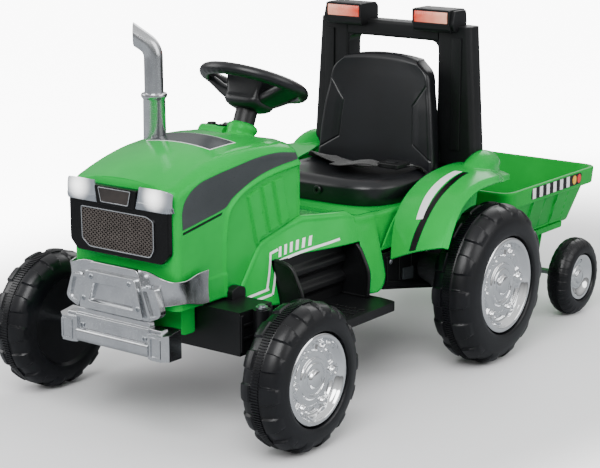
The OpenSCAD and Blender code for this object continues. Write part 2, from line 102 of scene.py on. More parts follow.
def moved(part, offset=(0, 0, 0), turn=None):  # part turned by a 3x3 matrix, then shifted
    points = part[0] if turn is None else part[0] @ np.array(turn).T
    return points + np.array(offset, float), part[1]


def mirrored(part):  # part on the tractor's other side
    return part[0] * (-1, 1, 1), part[1]


def bothSides(part):
    return joined(part, mirrored(part))


eachSide = (("left", lambda part: part), ("right", mirrored))


def prism(outline, low, high, axis):  # flat outline (n, 2) run from low to high along axis 0, 1 or 2
    outline = np.array(outline, float)
    grid = np.empty((2, len(outline), 3))
    others = [i for i in range(3) if i != axis]
    grid[:, :, others] = outline
    grid[0, :, axis], grid[1, :, axis] = low, high
    return surface(grid, closeCols=True, caps=True)


def block(low, high):
    (x0, y0, z0), (x1, y1, z1) = low, high
    return prism([(x0, y0), (x1, y0), (x1, y1), (x0, y1)], z0, z1, 2)


def turned(profile, centre, axis, steps=96, caps=False):
    # Lathe work: profile rows are (distance along the axis, radius), swept round a full circle
    profile, angle = np.array(profile, float), np.linspace(0, 2 * np.pi, steps, endpoint=False)
    axis = np.array(axis, float) / np.linalg.norm(axis)
    side = np.cross(axis, (0, 0, 1) if abs(axis[2]) < 0.9 else (0, 1, 0))
    side /= np.linalg.norm(side)
    other = np.cross(axis, side)
    ring = np.cos(angle)[:, None] * side + np.sin(angle)[:, None] * other
    grid = np.array(centre) + profile[:, None, :1] * axis + profile[:, None, 1:] * ring[None]
    return surface(grid, closeCols=True, caps=caps)


def tube(path, radius, steps=20):
    # Circle of the given radius (one or a value per point) carried along a path, square to its run
    path = np.array(path, float)
    run = np.gradient(path, axis=0)
    run /= np.linalg.norm(run, axis=1)[:, None]
    side = np.cross(run, (0.13, 0.21, 0.97) if np.abs(run[:, 2]).mean() < 0.8 else (0.97, 0.21, 0.13))
    side /= np.linalg.norm(side, axis=1)[:, None]
    other = np.cross(run, side)
    angle = np.linspace(0, 2 * np.pi, steps, endpoint=False)
    radius = np.broadcast_to(radius, len(path))[:, None, None]
    ring = np.cos(angle)[:, None] * side[:, None] + np.sin(angle)[:, None] * other[:, None]
    return surface(path[:, None] + radius * ring, closeCols=True, caps=True)


def gridNormals(grid):
    normal = np.cross(np.gradient(grid, axis=0), np.gradient(grid, axis=1))
    return normal / np.maximum(np.linalg.norm(normal, axis=2), 1e-9)[:, :, None]


def thickened(grid, thick):
    # Sheet given as a grid, with a second skin thick below it along its normals and walls round its rim
    ring = np.concatenate([grid, (grid - gridNormals(grid) * thick)[:, ::-1]], axis=1)
    return surface(ring, closeCols=True, caps=True)


def makePiece(name, part, material, body, replaces=(), bevel=0, segments=2, wall=0,
              sharp=32):
    # Mesh object from a part: doubles within 0.02 mm merged, faces turned outward, then wall and bevel
    points, faces = part
    mesh = bpy.data.meshes.new(name)
    corners = [face for group in faces for face in group.tolist()]
    mesh.from_pydata(points / 1000 + (0, axleY, 0), [], corners)
    edit = bmesh.new()
    edit.from_mesh(mesh)
    bmesh.ops.remove_doubles(edit, verts=edit.verts, dist=0.02 / 1000)
    bmesh.ops.dissolve_degenerate(edit, edges=edit.edges, dist=1e-6)
    bmesh.ops.recalc_face_normals(edit, faces=edit.faces)
    edit.to_mesh(mesh)
    edit.free()
    mesh.shade_smooth()
    mesh.set_sharp_from_angle(angle=math.radians(sharp))
    piece = bpy.data.objects.new(name, mesh)
    bpy.context.scene.collection.objects.link(piece)
    if wall:
        solid = piece.modifiers.new("wall", "SOLIDIFY")
        solid.thickness, solid.offset = wall / 1000, -1
    if bevel:
        edge = piece.modifiers.new("edges", "BEVEL")
        edge.width, edge.segments, edge.limit_method = bevel / 1000, segments, "ANGLE"
        edge.angle_limit = math.radians(sharp)
        edge.harden_normals = True
    mesh.materials.append(material)
    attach(piece, body)
    if replaces:
        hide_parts(*replaces)
    return piece


def linearColour(hexText):  # sRGB hex to linear RGBA
    value = np.array([int(hexText[i:i + 2], 16) for i in (1, 3, 5)]) / 255
    linear = np.where(value <= 0.04045, value / 12.92, ((value + 0.055) / 1.055) ** 2.4)
    return (*linear.tolist(), 1.0)


def addNode(tree, kind, settings=None, inputs=None):  # one shader node, with its settings and links
    node = tree.nodes.new(kind)
    for key, value in (settings or {}).items():
        setattr(node, key, value)
    for key, value in (inputs or {}).items():
        if isinstance(value, bpy.types.NodeSocket):
            tree.links.new(value, node.inputs[key])
        else:
            node.inputs[key].default_value = value
    return node


def newMaterial(name, **fixed):  # empty Principled material with its fixed values set on the shader
    material = bpy.data.materials.new(name)
    material.use_nodes = True
    tree = material.node_tree
    shader = tree.nodes["Principled BSDF"]
    for key, value in fixed.items():
        shader.inputs[key.replace("_", " ")].default_value = value
    return material, tree, shader


def finish(name, look, **fixed):
    # Moulded, painted or plated surface: two close tones in slow clouds, a fine grain, and a gloss
    # that wanders a little. Sizes in look are real ones: cloudMm and grainMm across, grainDeep high.
    material, tree, shader = newMaterial(name, **fixed)
    place = addNode(tree, "ShaderNodeTexCoord").outputs["Object"]
    cloud = addNode(tree, "ShaderNodeTexNoise", None, {
        "Vector": place, "Scale": 1000 / look["cloudMm"], "Detail": 4.0, "Roughness": 0.6}).outputs["Fac"]
    grain = addNode(tree, "ShaderNodeTexNoise", None, {
        "Vector": place, "Scale": 1000 / look["grainMm"], "Detail": 3.0, "Roughness": 0.7}).outputs["Fac"]
    tone = addNode(tree, "ShaderNodeMapRange", None, {"Value": cloud, "From Min": 0.3, "From Max": 0.7})
    colour = addNode(tree, "ShaderNodeMixRGB", None, {
        "Fac": tone.outputs["Result"], "Color1": linearColour(look["low"]),
        "Color2": linearColour(look["high"])})
    speck = addNode(tree, "ShaderNodeMapRange", None, {
        "Value": grain, "From Min": 0.35, "From Max": 0.65, "To Min": 1 - look.get("speck", 0.0),
        "To Max": 1 + look.get("speck", 0.0)})
    flecked = addNode(tree, "ShaderNodeVectorMath", {"operation": "SCALE"}, {
        "Vector": colour.outputs["Color"], "Scale": speck.outputs["Result"]})
    gloss = addNode(tree, "ShaderNodeMapRange", None, {
        "Value": grain, "From Min": 0.3, "From Max": 0.7, "To Min": look["rough"] - look["roughVary"],
        "To Max": look["rough"] + look["roughVary"]})
    relief = addNode(tree, "ShaderNodeBump", None, {
        "Height": grain, "Strength": look.get("grainPull", 0.5), "Distance": look["grainDeep"] / 1000})
    tree.links.new(flecked.outputs["Vector"], shader.inputs["Base Color"])
    tree.links.new(gloss.outputs["Result"], shader.inputs["Roughness"])
    tree.links.new(relief.outputs["Normal"], shader.inputs["Normal"])
    return material


# Injection-moulded ABS in bright green: a hard shine with a faint orange-peel ripple
greenAbs = finish("gloss_green_ABS", {
    "low": "#009c3a", "high": "#00ac42", "cloudMm": 160, "grainMm": 9, "grainDeep": 0.05, "rough": 0.2,
    "roughVary": 0.03}, IOR=1.5, Specular_IOR_Level=0.3, Specular_Tint=linearColour("#38ff8c"))
# The trailer's polypropylene is softer, with less shine and a deeper green
greenPp = finish("satin_green_polypropylene", {
    "low": "#008e2e", "high": "#009e36", "cloudMm": 120, "grainMm": 5, "grainDeep": 0.06, "rough": 0.34,
    "roughVary": 0.05}, IOR=1.49, Specular_IOR_Level=0.25, Specular_Tint=linearColour("#38ff8c"))
# Blow-moulded polyethylene tyres: blue-black, with the broad soft shine of a waxy plastic
tyrePe = finish("blow_moulded_black_polyethylene", {
    "low": "#060709", "high": "#0c0d12", "cloudMm": 70, "grainMm": 1.6, "grainDeep": 0.05, "rough": 0.34,
    "roughVary": 0.06}, IOR=1.51, Specular_IOR_Level=0.38)
# Moulded polypropylene trim: near black with a fine spark-eroded grain
blackPp = finish("textured_black_polypropylene", {
    "low": "#08090a", "high": "#0e0f11", "cloudMm": 90, "grainMm": 0.9, "grainDeep": 0.06, "rough": 0.42,
    "roughVary": 0.07}, IOR=1.49, Specular_IOR_Level=0.36)
# Seat shell: the same plastic from a smoother mould, so it shines more
seatPp = finish("smooth_black_polypropylene", {
    "low": "#090a0c", "high": "#101216", "cloudMm": 110, "grainMm": 1.2, "grainDeep": 0.04, "rough": 0.34,
    "roughVary": 0.05}, IOR=1.49)
# Fascia: black gloss ABS
blackAbs = finish("black_ABS", {
    "low": "#050506", "high": "#08090a", "cloudMm": 60, "grainMm": 2.5, "grainDeep": 0.03, "rough": 0.3,
    "roughVary": 0.04}, IOR=1.54, Specular_IOR_Level=0.2)
# Vacuum-metallised ABS: a mirror with a faint ripple from the moulding under it
chromeAbs = finish("vacuum_metallised_ABS", {
    "low": "#e6e8ea", "high": "#f4f5f6", "cloudMm": 40, "grainMm": 6, "grainDeep": 0.03, "rough": 0.07,
    "roughVary": 0.03}, Metallic=1.0)
# Silver-painted ABS: metal flake in lacquer, so a bright speckled satin
silverPaint = finish("silver_flake_paint", {
    "low": "#bcbec1", "high": "#d4d6d8", "cloudMm": 35, "grainMm": 1.1, "grainDeep": 0.05, "rough": 0.22,
    "roughVary": 0.07, "speck": 0.1}, Metallic=1.0, Coat_Weight=0.2, Coat_Roughness=0.12)
# Zinc-plated mild steel: grey-white with a dull drawn surface
zincSteel = finish("zinc_plated_steel", {
    "low": "#9a9fa4", "high": "#b9bdc1", "cloudMm": 14, "grainMm": 0.6, "grainDeep": 0.03, "rough": 0.36,
    "roughVary": 0.1, "speck": 0.06}, Metallic=1.0)


def printedFilm(tone, low, high, cloud, rough, shine=0.5):
    # Printed vinyl film: flat ink under a thin gloss layer
    return finish("printed_" + tone + "_vinyl_film", {
        "low": low, "high": high, "cloudMm": cloud, "grainMm": 1.5, "grainDeep": 0.01, "rough": rough,
        "roughVary": 0.04}, IOR=1.5, Specular_IOR_Level=shine)


smokeFilm = printedFilm("grey", "#2b2f32", "#383c3f", 90, 0.3)
whiteFilm = printedFilm("white", "#e9edee", "#f6f8f8", 30, 0.32)
blackFilm = printedFilm("black", "#060707", "#0a0b0b", 30, 0.3, shine=0.25)
yellowFilm = printedFilm("amber", "#e3a615", "#f2bd28", 12, 0.25)
redFilm = printedFilm("red", "#c9241b", "#dd3a2c", 12, 0.25)
print("materials ready")

# ---- camera, lights and floor
studio = {
    "eye": (1880.8, -2125.1, 1006.5),   # camera, mm from the front axle
    "azimuth": 37.02, "down": 13.63, "lens": 103.4,
    "floor": "#f4f4f5", "mirroredFloorGrey": "#96999d", "keyPower": 118, "fillPower": 46, "rimPower": 44, "horizon": 0.2,
    "sky": 0.9,
    "white": 9.0,
}


def makeStage(look):
    camera = bpy.data.objects.new("camera", bpy.data.cameras.new("camera"))
    camera.data.lens, camera.data.sensor_width = look["lens"], 36
    camera.location = np.array(look["eye"]) / 1000 + (0, axleY, 0)
    camera.rotation_euler = (math.radians(90 - look["down"]), 0, math.radians(look["azimuth"]))
    bpy.context.scene.collection.objects.link(camera)
    bpy.context.scene.camera = camera
    target = bpy.data.objects.new("light_target", None)
    target.location = (0, -0.1, 0.25)
    bpy.context.scene.collection.objects.link(target)
    lamps = {"key": ((1.2, -2.6, 2.9), 2.2, look["keyPower"]),
             "fill": ((3.2, 0.6, 1.8), 2.4, look["fillPower"]),
             "left": ((-2.8, -1.6, 1.7), 2.0, look["rimPower"]),
             "back": ((-0.8, 3.0, 2.4), 2.2, look["rimPower"])}
    for name, (place, size, power) in lamps.items():
        lamp = bpy.data.objects.new(name, bpy.data.lights.new(name, "AREA"))
        lamp.data.size, lamp.data.energy = size, power
        lamp.location = place
        aim = lamp.constraints.new("TRACK_TO")
        aim.target, aim.track_axis, aim.up_axis = target, "TRACK_NEGATIVE_Z", "UP_Y"
        bpy.context.scene.collection.objects.link(lamp)
    world = bpy.data.worlds.new("studio")
    world.use_nodes = True
    tree = world.node_tree
    tree.nodes["Background"].inputs["Color"].default_value = (1, 1, 1, 1)
    place = addNode(tree, "ShaderNodeTexCoord").outputs["Generated"]
    height = addNode(tree, "ShaderNodeSeparateXYZ", None, {"Vector": place}).outputs["Z"]
    level = addNode(tree, "ShaderNodeMapRange", None, {
        "Value": height, "From Min": 0.0, "From Max": 0.55, "To Min": look["horizon"], "To Max": look["sky"]})
    seen = addNode(tree, "ShaderNodeLightPath").outputs["Is Camera Ray"]
    strength = addNode(tree, "ShaderNodeMix", None, {0: seen, 2: level.outputs["Result"], 3: look["white"]})
    tree.links.new(strength.outputs[0], tree.nodes["Background"].inputs["Strength"])
    bpy.context.scene.world = world
    material, tree, shader = newMaterial("matt_white_floor", Roughness=0.8)
    # Painted reflection: mirrored in chrome and paint the floor is grey, as if cards lay round the object
    glossyRay = addNode(tree, "ShaderNodeLightPath").outputs["Is Glossy Ray"]
    tone = addNode(tree, "ShaderNodeMixRGB", None, {
        "Fac": glossyRay, "Color1": linearColour(look["floor"]), "Color2": linearColour(look["mirroredFloorGrey"])})
    tree.links.new(tone.outputs["Color"], shader.inputs["Base Color"])
    # Away from the object the floor shines white to the camera alone, so the room has no edge
    place = addNode(tree, "ShaderNodeTexCoord").outputs["Object"]
    spread = addNode(tree, "ShaderNodeVectorMath", {"operation": "MULTIPLY"}, {0: place, 1: (1.9, 1.05, 0.0)})
    away = addNode(tree, "ShaderNodeVectorMath", {"operation": "LENGTH"}, {0: spread.outputs["Vector"]})
    glow = addNode(tree, "ShaderNodeMapRange", {"interpolation_type": "SMOOTHSTEP"}, {
        "Value": away.outputs["Value"], "From Min": 1.1, "From Max": 2.6, "To Min": 0.0,
        "To Max": look["white"]})
    seenFloor = addNode(tree, "ShaderNodeLightPath").outputs["Is Camera Ray"]
    lit = addNode(tree, "ShaderNodeMath", {"operation": "MULTIPLY"},
                  {0: glow.outputs["Result"], 1: seenFloor})
    shader.inputs["Emission Color"].default_value = (1, 1, 1, 1)
    tree.links.new(lit.outputs[0], shader.inputs["Emission Strength"])
    mesh = bpy.data.meshes.new("floor")
    corners = np.array([(-7, -7, 0), (7, -7, 0), (7, 9, 0), (-7, 9, 0)], float)
    mesh.from_pydata(corners - (0, 0, 0.0002), [], [(0, 1, 2, 3)])
    mesh.materials.append(material)
    floor = bpy.data.objects.new("floor", mesh)
    bpy.context.scene.collection.objects.link(floor)


makeStage(studio)
print("camera, lights and floor set")

# ---- wheels
lugTyre = {
    "lugs": 14, "lugShare": 0.54, "lugHigh": 4.5, "bandHalf": 8.5, "ribPitch": 5.0, "ribHigh": 1.8,
    "grooveDeep": 3.0, "round": 3.0, "bore": 6.05,
}
smoothTyre = {
    "lugs": 26, "lugShare": 0.5, "lugHigh": 0.8, "bandHalf": 6.0, "ribPitch": 3.4, "ribHigh": 0.9,
    "grooveDeep": 0.9, "round": 2.4, "bore": 6.05,
}


def tyreSection(radius, width, dish, look):
    # Balloon section from the outer bead over the tread to the inner bead, as rows (x, r):
    # a rounded-square curve |x|^n + |r|^n = 1 between the dish and the tread
    turn = np.linspace(0.0, np.pi, 97)
    power = 2 / look["round"]
    across = width / 2 * np.sign(np.cos(turn)) * np.abs(np.cos(turn)) ** power
    rise = dish + 3 + (radius - dish - 3) * np.abs(np.sin(turn)) ** power
    return width / 2 + across, rise


def tyre(low, high, dish, deep, look):
    # Tread radius = section + lug height where a lug stands, over angle and width; the band between the
    # two rows of lugs lies in a groove and carries fine cross ribs
    width, radius = high[0] - low[0], (high[2] - low[2]) / 2
    centre = (low + high) / 2
    x, r = tyreSection(radius, width, dish, look)
    edge = look["lugShare"] / 2
    shares = np.unique(np.round(np.concatenate([np.linspace(-0.5, 0.5, 9)[:-1]] + [
        side * edge + np.linspace(-0.045, 0.045, 6) for side in (-1, 1)]), 4))
    angle = ((np.arange(look["lugs"])[:, None] + shares[None]) * 2 * np.pi / look["lugs"]).ravel()
    phase = np.tile(shares, look["lugs"])
    fromBand = np.abs(x - width / 2) - look["bandHalf"]
    ends = smoothStep(fromBand, 0.6, 3.2) * (1 - smoothStep(radius - r, 15, 19))
    taper = edge - 0.05 * smoothStep(radius - r, 2, 15)
    lug = (1 - smoothStep(np.abs(phase)[:, None], taper[None] - 0.02, taper[None] + 0.02)) * ends[None]
    groove = 1 - smoothStep(fromBand, -1.2, 0.4)
    lowered = look["lugHigh"] * (1 - lug) * smoothStep(r, dish + 6, dish + 22)[None]
    height = r[None] - lowered + (look["lugHigh"] - look["grooveDeep"]) * groove[None]
    tread = np.stack([np.broadcast_to(x, height.shape), height], -1)
    bore = look["bore"]
    back = [(0.0, dish + 3), (6, dish - 2), (12, dish * 0.6), (12, bore), (width - deep, bore),
            (width - deep, dish), (width - 6, dish), (width - 1.5, dish + 1)]
    back = np.broadcast_to(np.array(back, float), (len(angle), len(back), 2))
    section = np.concatenate([tread, back], axis=1)
    grid = np.stack([low[0] + section[..., 0], centre[1] + section[..., 1] * np.cos(angle)[:, None],
                     centre[2] + section[..., 1] * np.sin(angle)[:, None]], -1)
    body = surface(grid, closeRows=True, closeCols=True)
    count = int(2 * np.pi * radius / look["ribPitch"])
    base = radius - look["grooveDeep"] - 0.6
    step = 2 * np.pi / count
    spin = np.arange(count)[:, None] * step + np.array([-0.3, -0.18, 0.18, 0.3])[None] * step
    lift = base + np.array([0, look["ribHigh"] + 0.6, look["ribHigh"] + 0.6, 0])
    across = width / 2 + np.array([-1, 1]) * (look["bandHalf"] - 0.8)
    ribs = np.empty((count, 2, 4, 3))
    ribs[..., 0] = low[0] + across[None, :, None]
    ribs[..., 1] = centre[1] + (lift[None] * np.cos(spin))[:, None]
    ribs[..., 2] = centre[2] + (lift[None] * np.sin(spin))[:, None]
    start = np.arange(count)[:, None] * 8
    sides = np.array([(0, 1, 5, 4), (1, 2, 6, 5), (2, 3, 7, 6), (3, 0, 4, 7), (3, 2, 1, 0), (4, 5, 6, 7)])
    return joined(body, (ribs.reshape(-1, 3), [(start[:, None] + sides[None]).reshape(-1, 4)]))


def boltedCover(low, high, radius):
    # Plated disc, height over radius p and angle: rolled rim, dished web with pockets between the bosses,
    # a flat hub plate and a domed cap
    bolts, boltAt = 6, 0.67
    p, angle = np.meshgrid(np.linspace(0, 1, 96), np.linspace(0, 2 * np.pi, 240, endpoint=False))
    height = -6 * smoothStep(p, 0.97, 1.0) - 9 * (1 - smoothStep(p, 0.76, 0.86))
    height += -3 * (1 - smoothStep(p, 0.84, 0.88))
    height += 1.5 * bump(p, 0.91, 0.02, 0.05)
    pocket = np.cos(bolts * angle + np.pi)
    height += -4.5 * bump(p, 0.66, 0.06, 0.025) * smoothStep(pocket, -0.1, 0.35)
    # mm from the nearest bolt, by the cosine rule
    fromBolt = (angle + np.pi / bolts) % (2 * np.pi / bolts) - np.pi / bolts
    boss = radius * np.sqrt(p ** 2 + boltAt ** 2 - 2 * p * boltAt * np.cos(fromBolt))
    height += 6.5 * (1 - smoothStep(boss, radius * 0.085, radius * 0.12))
    height += -2.5 * (1 - smoothStep(boss, 3.2, 4.4))
    height += 3.5 * (1 - smoothStep(p, 0.42, 0.455)) - 1.6 * bump(p, 0.345, 0.012, 0.012)
    height += 5.5 * (1 - smoothStep(p, 0.17, 0.215)) + 2.2 * (1 - (np.minimum(p, 0.17) / 0.17) ** 2)
    return coverDisc(low, high, radius, p, angle, height)


def plainCover(low, high, radius):
    # Plated disc with a rolled rim, a smooth dish and a stepped hub
    p, angle = np.meshgrid(np.linspace(0, 1, 72), np.linspace(0, 2 * np.pi, 144, endpoint=False))
    height = -5 * smoothStep(p, 0.96, 1.0) - 9 * (1 - smoothStep(p, 0.46, 0.9))
    height += 2.5 * (1 - smoothStep(p, 0.44, 0.48))
    height += 3.5 * (1 - smoothStep(p, 0.26, 0.31)) + 2 * (1 - (np.minimum(p, 0.27) / 0.27) ** 2)
    return coverDisc(low, high, radius, p, angle, height)


def coverDisc(low, high, radius, p, angle, height):
    centre, skirt = (low + high) / 2, 12
    face = np.stack([high[0] + height, centre[1] + radius * p * np.cos(angle),
                     centre[2] + radius * p * np.sin(angle)], -1)
    edge = face[:, -1:].copy()
    edge[..., 0] -= skirt
    return surface(np.concatenate([face, edge], axis=1), closeRows=True)


def makeWheels():
    kinds = {"front": (lugTyre, 79.5, 22), "rear": (lugTyre, 93.5, 22), "trailer": (smoothTyre, 49, 20)}
    for kind, (look, dish, deep) in kinds.items():
        low, high = nodeBox(kind + "_tyre_left")
        coverLow, coverHigh = nodeBox(kind + "_cover_left")
        coverRadius = (coverHigh[2] - coverLow[2]) / 2
        rubber = tyre(low, high, dish, deep, look)
        disc = (plainCover if kind == "trailer" else boltedCover)(coverLow, coverHigh, coverRadius)
        for side, turn in eachSide:
            body = kind + "_wheel_" + side
            makePiece(kind + "_tyre_moulding_" + side, turn(rubber), tyrePe, body,
                      (kind + "_tyre_" + side,), sharp=38)
            makePiece(kind + "_cover_plated_" + side, turn(disc), chromeAbs, body,
                      (kind + "_cover_" + side,), sharp=60, wall=1.6)


makeWheels()
print("wheels made")

# ---- hood
def curve(value, knots, heights):
    # Smooth line through the knots: cubic Hermite pieces with averaged slopes
    knots, heights = np.array(knots, float), np.array(heights, float)
    slope = np.gradient(heights, knots)
    i = np.clip(np.searchsorted(knots, value) - 1, 0, len(knots) - 2)
    span = knots[i + 1] - knots[i]
    t = np.clip((value - knots[i]) / span, 0, 1)
    return ((2 * t ** 3 - 3 * t ** 2 + 1) * heights[i] + (t ** 3 - 2 * t ** 2 + t) * span * slope[i]
            + (3 * t ** 2 - 2 * t ** 3) * heights[i + 1] + (t ** 3 - t ** 2) * span * slope[i + 1])


hoodLow, hoodHigh = nodeBox("hood")
hoodLook = {
    "footY": (46, 105, 220), "footZ": (228, 303, 329),                  # lower edge
    "lineY": (-112, -60, 0, 60, 130, 190, 212, 220),                    # top line along the shoulder
    "lineDrop": (40, 21, 6, -1, -2, 5, 11, 15), "cornerSize": (20, 23, 25, 28, 31, 34, 36, 37), "crown": 9,
    "basin": (0, 190, 9, 30, 72),                                     # x, y, depth and radii round the column
    "noseRound": 13, "tailRound": 7,
    "ridge": ((10, 226), (11, 290), (13, 340), (23, 372), (47, 391), (105, 411), (165, 419), (222, 422)),
    "ridgeHigh": 3.4, "ridgeWide": 4.2, "panelDeep": 3.4,
    "bars": ((84.5, 116.5), (125.0, 151.0), (158.0, 184.0)), "barLean": 0.26, "barHigh": 5.0,
    "holeAt": (113, 353), "skirtZ": 268,
}


def polyline(points, count):  # points spaced evenly along a smooth line through the given ones
    points = np.array(points, float)
    run = np.concatenate([[0], np.cumsum(np.linalg.norm(np.diff(points, axis=0), axis=1))])
    t = np.linspace(0, run[-1], count)
    return np.stack([curve(t, run, points[:, i]) for i in range(points.shape[1])], -1)


def fromLine(y, z, line):  # distance to a line of points in the (y, z) plane
    return np.sqrt(((y[..., None] - line[:, 0]) ** 2 + (z[..., None] - line[:, 1]) ** 2).min(axis=-1))


def hoodRelief(y, z):
    # How far the hood's side stands out, over (y, z): a bead along the sweeping ridge, the panel sunk
    # behind it, and three raised leaning bars in that panel
    look = hoodLook
    line = polyline(look["ridge"], 160)
    away = fromLine(y, z, line)
    ridgeZ = np.interp(y, line[:, 0], line[:, 1])
    inside = (y > np.interp(z, line[:, 1], line[:, 0])) & (z < ridgeZ)
    away = np.where(inside, away, -away)
    relief = look["ridgeHigh"] * np.exp(-(away / look["ridgeWide"]) ** 2)
    relief -= look["panelDeep"] * smoothStep(away, 1.5, 5)
    lean = y + look["barLean"] * (z - 345)
    foot = np.interp(y, look["footY"], look["footZ"])
    span = smoothStep(away, 13, 15.5) * smoothStep(z, foot + 5, foot + 7.5)
    for start, end in look["bars"]:
        slope = 1 - 0.35 * (lean - start) / (end - start)
        relief += look["barHigh"] * slope * span * smoothStep(lean, start - 1.2, start + 1.2) * (
            1 - smoothStep(lean, end - 1.2, end + 1.2))
    hole = np.hypot(y - look["holeAt"][0], z - look["holeAt"][1])
    relief -= 3.5 * (1 - smoothStep(hole, 1.8, 3.2))
    return relief + 1.6 * (1 - smoothStep(z, look["skirtZ"] - 1, look["skirtZ"] + 1)) * (away < 2)


def hoodSection(y, count):
    # Half section at each y: x and z from the foot up the side, round the corner and over to the crown
    look, top = hoodLook, hoodHigh[2] - 15
    foot = np.interp(y, look["footY"], look["footZ"])
    line = top - curve(y, look["lineY"], look["lineDrop"])
    corner = curve(y, look["lineY"], look["cornerSize"])
    half = np.full_like(y, hoodHigh[0])
    ahead, behind = y - hoodLow[1], hoodHigh[1] - y
    for gap, size in ((ahead, look["noseRound"]), (behind, look["tailRound"])):
        # each end is a quarter circle in plan
        fromEnd = 1 - np.clip(gap / size, 0, 1)
        half -= size * (1 - np.sqrt(np.clip(1 - fromEnd ** 2, 0, 1)))
    sideT, arcT = np.linspace(0, 1, count[0])[:-1], np.linspace(0, np.pi / 2, count[1])[:-1]
    topT = np.linspace(1, 0, count[2])
    flat = half - corner
    x = np.concatenate([np.repeat(half[:, None], len(sideT), 1),
                        flat[:, None] + corner[:, None] * np.cos(arcT),
                        flat[:, None] * topT], 1)
    z = np.concatenate([foot[:, None] + (line - corner - foot)[:, None] * sideT,
                        (line - corner)[:, None] + corner[:, None] * np.sin(arcT),
                        line[:, None] + look["crown"] * (1 - topT ** 2)], 1)
    return x, z


def makeHood():
    y = np.unique(np.concatenate([
        hoodLow[1] + hoodLook["noseRound"] * (1 - np.cos(np.linspace(0, np.pi / 2, 8))),
        np.linspace(hoodLow[1] + hoodLook["noseRound"], hoodHigh[1] - hoodLook["tailRound"], 190),
        hoodHigh[1] - hoodLook["tailRound"] * (1 - np.cos(np.linspace(0, np.pi / 2, 6)))]))
    x, z = hoodSection(y, (96, 16, 14))
    basinX, basinY, deep, inner, outer = hoodLook["basin"]
    z = z - deep * (1 - smoothStep(np.hypot(x - basinX, y[:, None] - basinY), inner, outer)) * (z > 440)
    side = smoothStep(x, hoodHigh[0] - 6, hoodHigh[0] - 1)
    x = x + hoodRelief(np.broadcast_to(y[:, None], z.shape), z) * side * (y < hoodHigh[1] - 3)[:, None]
    half = np.stack([x, np.broadcast_to(y[:, None], x.shape), z], -1)
    grid = np.concatenate([half, half[:, -2::-1] * (-1, 1, 1)], axis=1)
    makePiece("hood_moulding", surface(grid, caps=True), greenAbs, "tractor", ("hood",), wall=3, sharp=50)


def hoodTop(x, y):  # height of the hood's top at (x, y), away from the corner
    look = hoodLook
    line = hoodHigh[2] - 15 - curve(y, look["lineY"], look["lineDrop"])
    flat = hoodHigh[0] - curve(y, look["lineY"], look["cornerSize"])
    corner = hoodHigh[0] - flat
    over = np.clip(np.abs(x) - flat, 0, None)
    crown = look["crown"] * (1 - np.clip(np.abs(x) / flat, 0, 1) ** 2)
    return line + crown - corner + np.sqrt(corner ** 2 - over ** 2)


def hoodSide(y, z):  # the side's x at (y, z), bending inward over the shoulder's corner
    look = hoodLook
    line = hoodHigh[2] - 15 - curve(y, look["lineY"], look["lineDrop"])
    corner = curve(y, look["lineY"], look["cornerSize"])
    over = np.clip(z - (line - corner), 0, corner * 0.98)
    return hoodHigh[0] - corner + np.sqrt(corner ** 2 - over ** 2) + hoodRelief(y, z)


def strip(lower, upper, place, rows=60, cols=14, proud=0.35, heart=(0, None, 300)):
    # Film 0.3 mm thick between two lines of (u, v) points, laid on a surface place(u, v) -> (x, y, z) and
    # lifted proud of it, away from the heart of the part it is on
    low, up = polyline(lower, rows), polyline(upper, rows)
    t = np.linspace(0, 1, cols)[None, :, None]
    uv = low[:, None] * (1 - t) + up[:, None] * t
    grid = np.stack(place(uv[..., 0], uv[..., 1]), -1)
    normal = gridNormals(grid)
    middle = [grid[..., k].mean() if heart[k] is None else heart[k] for k in range(3)]
    outward = np.sign((normal * (grid - middle)).sum())
    lifted = grid + normal * outward * proud
    return thickened(lifted, 0.3 * outward)


def makeHoodFilms():
    # Dark sweep along the side: rises in a curve from the nose and follows the ridge's upper side
    onSide = lambda y, z: (hoodSide(y, z), y, z)
    lower = [(-96, 361), (-40, 370), (2, 377), (14, 380), (30, 392), (52, 402), (105, 419), (160, 427),
             (212, 430)]
    upper = [(-97, 388), (-91, 405), (-77, 419), (-54, 430), (-18, 437), (40, 444), (105, 450), (160, 449),
             (212, 441)]
    sweep = strip(lower, upper, onSide, rows=120)
    makePiece("side_sweep_film", bothSides(sweep), smokeFilm, "tractor")
    # Thin line that trims the sweep's lower front edge, in place of lettering
    trim = strip([(-95, 353), (2, 369)], [(-95, 357), (4, 373)], onSide, rows=30, cols=4)
    makePiece("side_trim_film", bothSides(trim), blackFilm, "tractor")
    onTop = lambda x, y: (x, y, hoodTop(x, y))
    vent = {"front": 27, "back": 90, "frontHalf": 71, "backHalf": 75, "edge": 2.3}

    def ventShape(inset):
        front, back = vent["front"] + inset, vent["back"] - inset
        wide = lambda y: np.interp(y, (vent["front"], vent["back"]),
                                   (vent["frontHalf"], vent["backHalf"])) - inset
        return [(-wide(front), front), (-wide(back), back)], [(wide(front), front), (wide(back), back)]

    makePiece("top_vent_outline_film", strip(*ventShape(0), onTop, rows=40, cols=30, proud=0.3), whiteFilm,
              "tractor")
    makePiece("top_vent_film", strip(*ventShape(vent["edge"]), onTop, rows=40, cols=30, proud=0.62),
              smokeFilm,
              "tractor")


makeHood()
makeHoodFilms()
print("hood made")

# ---- nose: fascia, grille, badge, lamps and bumper
fasciaLow, fasciaHigh = nodeBox("front_fascia")
grilleLook = {
    "outline": ((-79, 327), (-62, 315), (72, 315), (80, 328), (80, 376), (66, 383), (-79, 383), (-80, 380)),
    "frameWide": 1.7, "pitch": 5.2, "barWide": 1.3,
    "badge": ((-30, 395.5), (30, 395.5), (36, 420.5), (-36, 420.5)),
}


